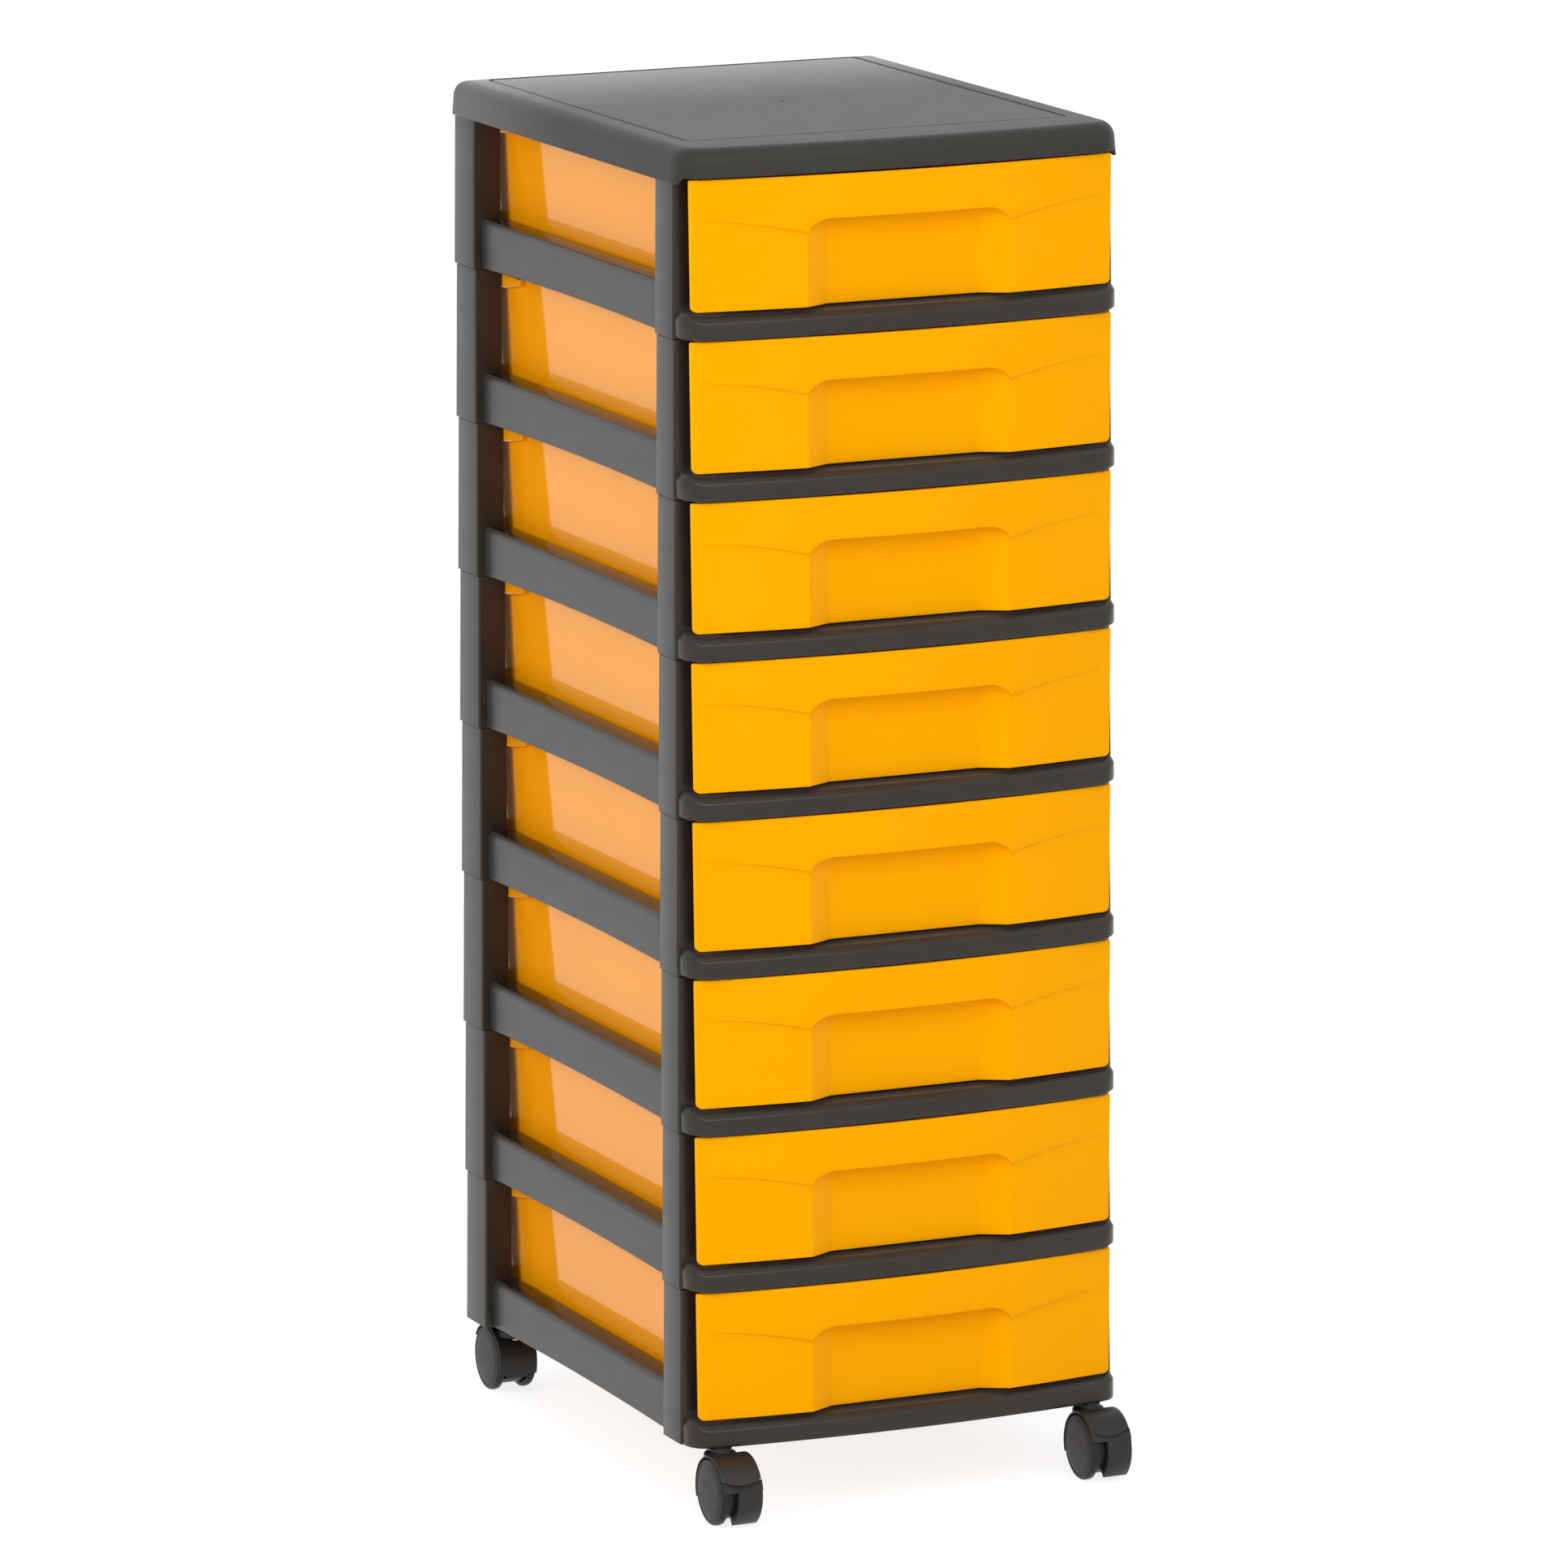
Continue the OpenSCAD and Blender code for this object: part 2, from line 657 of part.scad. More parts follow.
module caster_wheel(c, outer) {
    // On both ends of the tower the outer wheel is the one nearer the side wall.
    side = side_of(c) * (outer ? 1 : -1) * (is_rear(c) ? -1 : 1);
    color("#3a3733") at_corner(c) translate([0, -caster_trail, axle_z]) wheel_shape(side);
}

// Brake lever: a ridged tread under the hood's edge, a flap in front of one wheel and an
// arm between the wheels that turns on the axle.
module brake_lever(c) {
    tread_top = 180 - tread_top_a;
    tread_end = 180 - tread_low_a;
    press = c == "front_left" ? left_brake_a : 0;
    color("#43403c") at_corner(c)
    translate([0, -caster_trail, axle_z]) rotate([press, 0, 0])
    translate([0, caster_trail, -axle_z]) difference() {
        union() {
            ring_segment(hood_in_r, tread_r, tread_top, tread_end,
                -hood_half_w, hood_half_w);
            ring_segment(hood_in_r, hood_out_r, tread_end - 1, 180 + flap_end_a,
                hood_half_w - flap_w, hood_half_w);
            ring_segment(axle_d / 2 + pin_gap, hub_r, 0, 180,
                arm_in_x + 0.3, arm_in_x + 0.3 + arm_t);
            ring_segment(axle_d / 2 + pin_gap, hub_r, 180, 360,
                arm_in_x + 0.3, arm_in_x + 0.3 + arm_t);
            ring_segment(hub_r - 1, hood_in_r + TINY, tread_top, 180 + flap_end_a - 12,
                arm_in_x + 0.3, arm_in_x + 0.3 + arm_t);
        }
        // Grooves between the ridges of the tread.
        for (i = [0:tread_ridges - 1])
            on_axle(-hood_half_w + (i + 0.75) * 2 * hood_half_w / tread_ridges - ridge_w / 2)
            rotate(tread_top) translate([hood_out_r + tread_out / 3, -1, 0])
            cube([tread_out, 2.2, ridge_w]);
    }
}

// ---------------------------------------------------------------- drawing

top_cover();
for (i = [1:tier_count]) {
    frame(i);
    drawer(i);
}
for (c = CORNERS) {
    caster_stem(c);
    caster_hood(c);
    caster_axle(c);
    caster_wheel(c, true);
    caster_wheel(c, false);
}
for (c = BRAKED)
    brake_lever(c);
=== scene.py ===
"""Looks of the drawer tower: detailed mouldings, procedural plastics, a white studio."""

import math

import bmesh
import bpy
from mathutils import Matrix, Vector


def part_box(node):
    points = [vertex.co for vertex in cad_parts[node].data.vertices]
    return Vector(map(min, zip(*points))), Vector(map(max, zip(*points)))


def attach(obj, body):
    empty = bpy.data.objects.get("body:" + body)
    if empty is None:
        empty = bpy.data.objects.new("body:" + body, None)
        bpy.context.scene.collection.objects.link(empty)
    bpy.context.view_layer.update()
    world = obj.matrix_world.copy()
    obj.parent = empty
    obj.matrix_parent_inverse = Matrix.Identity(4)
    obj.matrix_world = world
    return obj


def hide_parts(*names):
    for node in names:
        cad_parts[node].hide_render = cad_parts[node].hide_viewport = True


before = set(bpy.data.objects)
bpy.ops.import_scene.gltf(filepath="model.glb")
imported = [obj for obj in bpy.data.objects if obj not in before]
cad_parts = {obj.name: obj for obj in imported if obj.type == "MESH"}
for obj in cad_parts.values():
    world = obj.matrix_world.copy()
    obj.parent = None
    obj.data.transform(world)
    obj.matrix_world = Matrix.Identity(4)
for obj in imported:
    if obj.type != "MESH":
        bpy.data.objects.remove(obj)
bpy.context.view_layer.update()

# ------------------------------------------------------------------ sizes, in millimetres

MM = 0.001
TIERS = 8
PITCH = (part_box("frame_2")[0].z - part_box("frame_1")[0].z) / MM
HALF_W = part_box("frame_1")[1].x / MM
FRAME_D = 352.0
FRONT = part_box("frame_1")[1].y / MM - FRAME_D  # Y of the frames' front line
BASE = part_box("frame_1")[0].z / MM  # height of the lowest frame's underside
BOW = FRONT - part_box("frame_1")[0].y / MM

WALL = 2.2
EDGE = 0.3  # the usual small edge
LIFT = 0.02  # surfaces keep this far inside the solids they stand for
BOW_STEPS = 36
CORNER_STEPS = 7
ROUND_STEPS = 48

POST_R = 3.0
POST_EDGE_R = 1.3
FRONT_POST = (126.0, 14.8, 41.8)  # inner x, front y, back y
REAR_POST = (123.5, 320.3, 352.0)
POST_TAPER = 1.15
POST_LEAN = 0.6  # share of the taper that the outer face along Y takes
POST_HOLLOW = 40  # height of the hollow under a post
POST_GAP = 0.4  # between a post and the next frame's
SEAM_BEVEL = 0.35

RAIL_H = 14.0
RAIL_FACE_H = 10.6
RAIL_SLOPE = 4.6
RAIL_CORNER = 13.5
RAIL_HALF = 140.6
RAIL_PLAN = (RAIL_HALF, BOW, RAIL_CORNER, 60, 1)  # for bowed; the plan is cut off at DECK_Y
RAIL_BLEND = (130.0, 136.5)  # the ends' own chamfers begin and are full here
DECK_Y = 17.4
RAIL_FOOT = (  # inset and height of the lower edge, in the middle and at the ends
    (WALL, 0.5, 4.2, 0.5),
    (WALL - 0.4, LIFT, 4.0, LIFT),
    (0.9, LIFT, 3.6, LIFT),
    (0.35, 0.2, 3.3, 0.15),
    (LIFT, 0.9, 0.3, 1.7),
    (LIFT, 1.6, LIFT, 2.3),
)
RAIL_BROW = (  # the same of the upper edge and the slope above it
    (LIFT, RAIL_FACE_H - 1.0, LIFT, 11.4),
    (0.2, RAIL_FACE_H - 0.3, 0.12, 12.0),
    (0.8, RAIL_FACE_H + 0.3, 0.45, 12.7),
    (RAIL_SLOPE - 0.9, RAIL_H - 0.55, 2.2, 15.8),
    (RAIL_SLOPE - 0.2, RAIL_H - 0.12, 2.7, 16.25),
    (RAIL_SLOPE + 1.0, RAIL_H, 3.8, 16.3),
)

SIDE_X = 136.4  # the side rails' outer face
SIDE_H = 30.0
SIDE_TOP_R = 3.6
LEDGE_X = 119.5
LEDGE_DROP = 0.6  # below the rail's top
RUNNER_X = 107.5
RUNNER_Z = 16.7
RAIL_OVERLAP = 1.2  # the side rails end this deep in the posts
ARCH_END = 0.15  # height of the arched lower edge at its ends and in its middle
ARCH_MID = 2.0
ARCH_STEPS = 28
REAR_RAIL = (346.0, 352.0, 30.0)  # front y, back y, height

DRAWER_HALF = 135.6
DRAWER_EDGE_Y = 3.0  # the front's outer corners lie this far behind the frames' front line
DRAWER_BOW = 13.5
DRAWER_Z = (16.5, 94.2)  # the front's lower and upper edge
DRAWER_T = 2.6
FRONT_LEAN = 0.8  # the front is this much narrower, each side, at its lower edge
FRONT_EDGES = (3.4, 1.2, 0.6)  # radius of the lower and the upper corners, and of the face's edge
FRONT_ROWS = (0, 0.1, 0.35, 0.9)  # distances of the rows that round the face's edge
FRONT_OVERLAP = 0.6  # the walls begin this deep in the front
DRAWER_FLOOR_Z = 17.0
DRAWER_WALL_TOP = 91.0
DRAWER_BOX = (119.53, 344.5, 3.0, 6.0)  # half width and back at the rim, draft, corner radius
DRAWER_WALL = 1.8
DRAWER_FOOT_R = 3.2
DRAWER_CORNER_STEPS = 9
CORNER_GUARD = 0.6  # points this near to a round corner keep the flat walls' shading even
FLOOR_RIM = 12.0  # the walls' moulding reaches this far in, and the floor's sheet fills the rest
SHEET_OVERLAP = (0.1, 0.5)  # of the sheet with the walls' moulding, and with the front
FLOOR_Z = (DRAWER_FLOOR_Z + 0.03, DRAWER_FLOOR_Z + DRAWER_WALL - 0.03)
FLOOR_STRIP = (12.5, 5.5, 6.0)  # inner and outer edge, inwards from the rim, and length
LUG = (123.2, 292.0, 318.0, 334.4, 82.8, 87.6)  # outer x, front y, ramp's end, back y, z, front z
LUG_EDGE = 0.4
LUG_ROOT = 1.2  # the lugs begin this deep in the walls

RECESS_VERTEX = (65.0, 60.6)  # x and z where the recess's edge meets the wing line
RECESS_TOP = (50.0, 68.4)  # where its upper corner ends
RECESS_CURVE = (0.4, 0.6)  # shares of a sine and of a quarter circle in its upper corners
RECESS_FLOOR_X = 49.0
RECESS_FLOOR_Y = 2.6
RECESS_SOFT = (0.3, 1.2)  # size of its edges' soft corners, at the face and at its floor
RECESS_COLUMNS = [44, 38, 30, 22, 14, 7]  # x of the mesh's columns across its floor
SLOPE_STEPS = 9
WING_END_X = 131.0
WING_SET = 1.7  # step of the face at the wing line's inner end
WING_FADE = 0.6  # exponent of its fall to 0 at the outer end
WING_SLOPE = 0.2437  # the line's rise: first and second order
WING_CURVE = 0.001523
WING_STEPS = 22

COVER_H = 21.0
COVER_DROP = 3.5  # the skirt reaches this far below the frames' top
COVER_OVER = 1.2
COVER_R = 10.0
COVER_HALF = 142.9
COVER_FRONT_R = 18.5
COVER_REAR_R = POST_R + COVER_OVER
COVER_FLARE = 0.8  # the skirt's draft
COVER_CUT_Y = 8.6  # the lower edge is cut higher in front of this line
COVER_FRONT_CUT = 3.8
COVER_SPRING = COVER_H - COVER_R  # height at which the rounding of the top edge begins
COVER_TURNS = (12, 24, 36, 48, 60, 72, 82, 90)  # angles along that rounding
COVER_CEILING = COVER_H - 3.0
# inset and height of the rows under the ceiling
COVER_INSIDE = ((12.5, COVER_CEILING), (3.4, COVER_SPRING + 3), (WALL, COVER_SPRING + 1))
COVER_LIP = ((WALL, 0.35), (1.9, LIFT), (0.35, LIFT), (0.0, 0.35), (0.22, 3.2))  # inset, height
COVER_RIB = 2.0
COVER_RIB_Z = 8.3  # the ribs' lower edge, above the frames' top
COVER_SHARP = 28.0
PANEL = (122.2, 36.0, 341.5, 4.0)  # half width, front y, back y, corner radius
PANEL_GROOVE = (  # growth of the panel's outline, and depth below the top
    (2.2, 0), (1.4, 0), (1.1, 0.12), (0.8, 0.78), (-0.8, 0.78), (-1.1, 0.25), (-1.4, 0.16),
    (-2.6, 0.16),
)
GATE_MARK = (  # radius and depth below the panel
    (30, 0), (25, 0), (17, 0.12), (14, 0.25), (11, 0.18), (2.2, 0.15), (1.6, 0.5),
)

WHEEL_R = 20.0
WHEEL_T = 4.8
WHEEL_IN_X = 8.2  # the wheel's inner face, from the caster's middle
WHEEL_OUT = 19.99
WHEEL_EDGE_R = 1.9
WHEEL_STEPS = 72
WHEEL_RIBS = 16
WHEEL_RIB = (0.7, 2.6, 13.6, 17.6, 1.0)  # depths behind the inner face, radii, thickness
WHEEL_INSIDE = (  # radius, and distance from the wheel's inner face: bore, hollow, rim
    (0, 3.4), (2.55, 3.4), (2.55, -0.25), (2.9, -0.3), (5.7, -0.3), (6.0, 0.0), (6.0, 2.5),
    (17.2, 2.5), (17.4, 2.2), (17.4, 0.2), (17.6, 0.02), (19.3, 0.02), (19.8, 0.3), (19.99, 0.8),
)
WHEEL_DISC = (  # radius, and rise above the wheel's width: rim ring, then the dome
    (17.75, -0.02), (17.55, -0.25), (17.3, -0.3), (17.05, -0.2), (16.6, -0.02), (12, 0.16),
    (6, 0.28), (0, 0.33),
)
TRAIL = 13.0  # from the stem forward to the axle
HOOD_IN = 20.6
HOOD_OUT = 21.8
HOOD_HALF = 12.6
HOOD_JOIN = 0.3  # what carries the roof, or the flap, reaches this deep into it
HOOD_FRONT_A = 20.4  # its front edge, in degrees above the axle's level
HOOD_REAR_CASTER_A = 31.0  # the same on the rear casters
HOOD_REAR_A = 20.0  # its rear edge, below that level
HOOD_STEPS = 44
HOOD_STEP_X = 1.5  # longest distance between two points along its width
CORE_HALF = 7.6
CORE_R = 16.6
CORE_ARC = (-28, 120, 16)  # the stem block's arc under the roof: from, to, and its steps
CORE_DEEP_ARC = (-28, 70, 12)
CORE_SIDE = [(-8, 6), (-4, -10.2), (17, -10.2)]  # y and z of the stem block's lower corners
CORE_DEEP = [(7.2, 10), (7.2, -10.2), (17, -10.2)]  # the same beside the lever's arm
ARM_X = (5.6, 7.6)
ARM_GAP = 0.3  # between the lever's arm and the core
ARM_IN = 5.0  # the arm begins at this radius, inside its eye
ARM_SHORT = 12  # the arm ends this many degrees before the flap
ARM_EDGE = 0.1
EYE_R = (2.6, 6.0)
TREAD_OUT = 1.4
TREAD_A = (19.4, 30.4)  # the tread's lower and upper edge, above the axle's level
SMILE_A = 9.0  # the tread's and the hood's edge rise by this angle towards their ends
TEETH = 14
TOOTH_STEPS = 6
TOOTH_GAP = (3, 4)  # the steps of a tooth's pitch that are cut
TOOTH_DEPTH = 1.1
TREAD_FIT = 0.05  # from the hood to the tread's inner face
TREAD_SKIN = 0.4  # from the hood to the tread's outer face, below its rim
TREAD_RIM_A = 5.6  # from the tread's upper edge down to the underside of its rim
WEB_X = (-3.2, -1.6)
WEB_IN = 16.9
FLAP_END_A = 50.0  # the flap's end, below that level
FLAP_X = (-3.2, 12.6)
BRAKE_A = 10.0  # the left lever is pressed down by this angle
NECK_TOP = BASE - 0.4
NECK = (  # radius, height
    (0, 33), (9.8, 36.6), (9.8, 39.6), (9.2, 40.4), (7.2, 41.6), (7.0, 42),
    (7.0, NECK_TOP - 0.4), (6.6, NECK_TOP), (0, NECK_TOP),
)
STEM_X = 121.4
STEM_Y = {"front": 3.5, "rear": 325.6}
BOSS_R = (4.0, 5.8)
BOSSES = ((STEM_Y["front"], RAIL_FACE_H - 0.8), (STEM_Y["rear"], RAIL_H))  # y, height

CORNERS = ("front_left", "front_right", "rear_left", "rear_right")


# ------------------------------------------------------------------ mesh building

SHARP = 32.0  # edges bent more than this, in degrees, are shaded sharp
WELD = 2e-6  # metres
SLIVER = 1e-6


class Shape:
    """Rings of points, in millimetres, collected into one mesh."""

    def __init__(self):
        self.verts = []
        self.faces = []

    def ring(self, points):
        start = len(self.verts)
        self.verts.extend(points)
        return range(start, len(self.verts))

    def bridge(self, a, b, closed=True):
        n = len(a)
        for i in range(n if closed else n - 1):
            j = (i + 1) % n
            self.faces.append((a[i], a[j], b[j], b[i]))

    def bridge_all(self, rings, closed=True):
        for a, b in zip(rings, rings[1:]):
            self.bridge(a, b, closed)

    def loft(self, rings):
        """Joins rings of equally many points and closes both ends."""
        ids = [self.ring(r) for r in rings]
        self.bridge_all(ids)
        self.faces += [tuple(ids[0]), tuple(ids[-1])]

    def add(self, verts, faces):
        start = len(self.verts)
        self.verts += verts
        self.faces += [tuple(start + k for k in f) for f in faces]

    def mesh(self, name, sharp=SHARP):
        data = bpy.data.meshes.new(name)
        bm = bmesh.new()
        made = [bm.verts.new([c * MM for c in v]) for v in self.verts]
        for f in self.faces:
            corners = list(dict.fromkeys(made[i] for i in f))
            if len(corners) > 2:
                bm.faces.new(corners)
        bmesh.ops.remove_doubles(bm, verts=bm.verts, dist=WELD)
        bmesh.ops.dissolve_degenerate(bm, edges=bm.edges, dist=SLIVER)
        bmesh.ops.recalc_face_normals(bm, faces=bm.faces)
        bm.to_mesh(data)
        bm.free()
        data.set_sharp_from_angle(angle=math.radians(sharp))
        return data


def place(name, data, location, material, turn=0.0):
    """An object from mesh data at a location in millimetres, turned about Z."""
    obj = bpy.data.objects.new(name, data)
    bpy.context.scene.collection.objects.link(obj)
    obj.location = [c * MM for c in location]
    obj.rotation_euler = (0, 0, math.radians(turn))
    if not data.materials:
        data.materials.append(material)
    return obj


def arc(cx, cy, r, a0, a1, n):
    """Points round (cx, cy) from angle a0 to a1, in degrees."""
    out = []
    for i in range(n + 1):
        a = math.radians(a0 + (a1 - a0) * i / n)
        out.append((cx + r * math.cos(a), cy + r * math.sin(a)))
    return out


def radial(points):
    """Rotates (x, radius, angle in degrees) into the axle's frame: from +Y over +Z."""
    out = []
    for x, r, angle in points:
        a = math.radians(angle)
        out.append((x, r * math.cos(a), r * math.sin(a)))
    return out


def rect(x0, y0, x1, y1, r, n=4):
    """Closed rectangle with rounded corners."""
    return (
        arc(x1 - r, y0 + r, r, -90, 0, n)
        + arc(x1 - r, y1 - r, r, 0, 90, n)
        + arc(x0 + r, y1 - r, r, 90, 180, n)
        + arc(x0 + r, y0 + r, r, 180, 270, n)
    )


def at_z(points, z):
    return [(x, y, z) for x, y in points]


def smooth_step(t):
    t = min(max(t, 0), 1)
    return t * t * (3 - 2 * t)


def bow_y(half, bow, x):
    """Y of a bowed line: 0 at x = half, -bow in the middle."""
    r = (half * half + bow * bow) / (2 * bow)
    return r - bow - math.sqrt(r * r - x * x)


def bowed(half, bow, r, depth, back_r, inset, steps=BOW_STEPS, n=CORNER_STEPS):
    """Closed plan with a bowed front, rounded corners and a straight back."""
    big = (half * half + bow * bow) / (2 * bow)
    yc = big - bow
    a = math.degrees(math.asin((half - r) / (big - r)))
    cy = yc - math.sqrt((big - r) ** 2 - (half - r) ** 2)
    b = max(back_r, inset + 0.01)
    return (
        arc(0, yc, big - inset, -90 - a, -90 + a, steps)
        + arc(half - r, cy, r - inset, -90 + a, 0, n)
        + arc(half - b, depth - b, b - inset, 0, 90, n)
        + arc(b - half, depth - b, b - inset, 90, 180, n)
        + arc(r - half, cy, r - inset, 180, 270 - a, n)
    )


def box(shape, lo, hi, bevel):
    """A box with its edges bevelled."""
    rows = ((lo[2], bevel), (lo[2] + bevel, 0), (hi[2] - bevel, 0), (hi[2], bevel))
    rings = []
    for z, d in rows:
        rings.append(at_z(rect(lo[0] + d, lo[1] + d, hi[0] - d, hi[1] - d, bevel, 2), z))
    shape.loft(rings)


def shell_ring(shape, xs, radii, a0, a1, steps, bevel=EDGE):
    """Part of a ring round the X axis: a0 and a1 in degrees from +Y over +Z."""
    section = rect(xs[0], radii[0], xs[1], radii[1], bevel, 2)
    rings = []
    for i in range(steps + 1):
        rings.append(radial([(x, r, a0 + (a1 - a0) * i / steps) for x, r in section]))
    shape.loft(rings)


def lathe(shape, profile, steps, axis="x"):
    """Turns (radius, height) points round an axis."""
    rings = []
    for r, h in profile:
        ring = []
        for i in range(steps):
            a = 2 * math.pi * i / steps
            p = (r * math.cos(a), r * math.sin(a))
            ring.append((h, p[0], p[1]) if axis == "x" else (p[0], p[1], h))
        rings.append(ring)
    shape.loft(rings)


# ------------------------------------------------------------------ frames


def add_post(shape, post, side, front):
    """One hollow post, drawn in towards its top so that each frame steps over the one below."""
    x_in, y0, y1 = post

    def outline(inset, taper):
        lean = taper * POST_LEAN
        lo_y = y0 + inset + (lean if front else 0)
        hi_y = y1 - inset - (0 if front else lean)
        radius = max(POST_EDGE_R - inset, EDGE)
        pts = rect(x_in + inset, lo_y, HALF_W - taper - inset, hi_y, radius)
        return [(side * x, y) for x, y in pts]

    top = PITCH - POST_GAP
    rows = (  # inset, taper, height
        (WALL, 0, POST_HOLLOW),
        (WALL, 0, EDGE),
        (WALL - EDGE, 0, LIFT),
        (SEAM_BEVEL, 0, LIFT),
        (0, 0, SEAM_BEVEL),
        (0, POST_TAPER / 2, PITCH / 2),
        (0, POST_TAPER, top - SEAM_BEVEL),
        (SEAM_BEVEL, POST_TAPER, top),
    )
    shape.loft([at_z(outline(inset, taper), z) for inset, taper, z in rows])


def add_front_rail(shape, plain_ends):
    """Bowed front rail with a sloped upper edge, open below. The lowest one has plain ends."""
    start, full = RAIL_BLEND

    def ring(inset, z, end_inset=None, end_z=None):
        """The rail in plan: drawn in by inset at height z, and by its own measures at the ends."""
        end_inset = inset if end_inset is None else end_inset
        end_z = z if end_z is None else end_z
        out = []
        for (x0, y0), (x1, y1) in zip(bowed(*RAIL_PLAN, inset), bowed(*RAIL_PLAN, end_inset)):
            t = smooth_step((abs(x0) - start) / (full - start))
            y = min(y0 + (y1 - y0) * t, DECK_Y)
            out.append((x0 + (x1 - x0) * t, y, z + (end_z - z) * t))
        return out

    hollow = ring(WALL, RAIL_FACE_H - WALL + 1)
    foot = [ring(*(row[:2] if plain_ends else row)) for row in RAIL_FOOT]
    shape.loft([hollow] + foot + [ring(*row) for row in RAIL_BROW])


def side_section(arch):
    """Outline of a side rail in x and z, its lower edge at the height arch."""
    top_x, top_z = SIDE_X - SIDE_TOP_R, SIDE_H - SIDE_TOP_R
    ledge_z = SIDE_H - LEDGE_DROP
    return (
        [(SIDE_X - 0.5, arch), (SIDE_X, arch + 0.5)]
        + arc(top_x, top_z, SIDE_TOP_R, 0, 80, CORNER_STEPS)
        + [
            (LEDGE_X + 1.2, ledge_z),
            (LEDGE_X + 0.3, SIDE_H - 0.9),
            (LEDGE_X, SIDE_H - 1.6),
            (LEDGE_X, RUNNER_Z + 1),
            (LEDGE_X - 1, RUNNER_Z),
            (RUNNER_X + EDGE, RUNNER_Z),
            (RUNNER_X, RUNNER_Z - EDGE),
            (RUNNER_X, RUNNER_Z - WALL),
            (LEDGE_X + WALL, RUNNER_Z - WALL),
            (LEDGE_X + WALL, ledge_z - WALL),
            (SIDE_X - WALL, SIDE_H - 1.0 - WALL),
            (SIDE_X - WALL, arch),
        ]
    )


def add_side_rail(shape, side):
    """Side rail: outer wall with a rounded top edge, ledge, inner wall and runner."""
    y0, y1 = FRONT_POST[2] - RAIL_OVERLAP, REAR_POST[1] + RAIL_OVERLAP
    rings = []
    for i in range(ARCH_STEPS + 1):
        t = i / ARCH_STEPS
        arch = ARCH_END + (ARCH_MID - ARCH_END) * (1 - (2 * t - 1) ** 2)
        y = y0 + (y1 - y0) * t
        rings.append([(side * x, y, z) for x, z in side_section(arch)])
    shape.loft(rings)


def add_rear_rail(shape):
    """Rear rail: an upright wall with a short ledge."""
    y0, y1, h = REAR_RAIL
    x = REAR_POST[0] + 1
    section = [
        (y1 - EDGE, 0.1),
        (y1 - 0.01, 0.4),
        (y1 - 0.01, h - 1.5),
        (y1 - 0.5, h - 0.4),
        (y1 - 1.5, h),
        (y0 + EDGE, h),
        (y0, h - EDGE),
        (y0, h - WALL),
        (y1 - WALL, h - WALL),
        (y1 - WALL, 0.1),
    ]
    shape.loft([[(s * x, y, z) for y, z in section] for s in (-1, 1)])


def add_bosses(shape):
    """Sockets for the caster stems."""
    hole, outer = BOSS_R
    for y, top in BOSSES:
        profile = (
            (hole, top - 1.2),
            (hole, EDGE),
            (hole + EDGE, LIFT),
            (outer - EDGE, LIFT),
            (outer, EDGE),
            (outer, top),
        )
        for side in (-1, 1):
            rings = []
            for r, z in profile:
                rings.append(at_z(arc(side * STEM_X, y, r, 0, 345, 23), z))
            shape.loft(rings)


def frame_mesh(outer_material, ledge_shade_material, plain_ends=False):
    """One moulding. Its ledges get a smoother copy of the plastic that reflects less, and that
    lower reflection is painted shade between the drawer walls and the rails' tops.
    """
    shape = Shape()
    for side in (-1, 1):
        add_post(shape, FRONT_POST, side, True)
        add_post(shape, REAR_POST, side, False)
        add_side_rail(shape, side)
    add_front_rail(shape, plain_ends)
    add_rear_rail(shape)
    add_bosses(shape)
    data = shape.mesh("frame_moulding")
    data.materials.append(outer_material)
    data.materials.append(ledge_shade_material)
    # the ledges' top faces take the less reflective copy: painted shade
    for poly in data.polygons:
        x, y, z = poly.center / MM
        on_ledge = LEDGE_X < abs(x) < SIDE_X - SIDE_TOP_R and SIDE_H - 1.5 < z < SIDE_H
        between = FRONT_POST[2] < y < REAR_POST[1]
        poly.material_index = 1 if on_ledge and between else 0
    return data


# ------------------------------------------------------------------ drawers


def edge_z(x):
    """Height of the recess's upper edge, and of the wing line outside it."""
    x = abs(x)
    vx, vz = RECESS_VERTEX
    tx, tz = RECESS_TOP
    if x <= tx:
        return tz
    if x <= vx:
        t = (vx - x) / (vx - tx)
        sine, round_part = RECESS_CURVE
        rise = sine * math.sin(math.pi * t / 2) + round_part * math.sqrt(1 - (1 - t) ** 2)
        return vz + (tz - vz) * rise
    s = x - vx
    return vz + WING_SLOPE * s - WING_CURVE * s * s


def face_y(x):
    return DRAWER_EDGE_Y + bow_y(DRAWER_HALF, DRAWER_BOW, x)


def set_back(x):
    """How far the face below the line lies behind the face above it."""
    x = abs(x)
    vx = RECESS_VERTEX[0]
    if x <= RECESS_FLOOR_X:
        return RECESS_FLOOR_Y - face_y(x)
    if x < vx:
        t = (x - RECESS_FLOOR_X) / (vx - RECESS_FLOOR_X)
        at_vertex = face_y(vx) + WING_SET
        return RECESS_FLOOR_Y + (at_vertex - RECESS_FLOOR_Y) * t - face_y(x)
    if x < WING_END_X:
        return WING_SET * (1 - (x - vx) / (WING_END_X - vx)) ** WING_FADE
    return 0.0


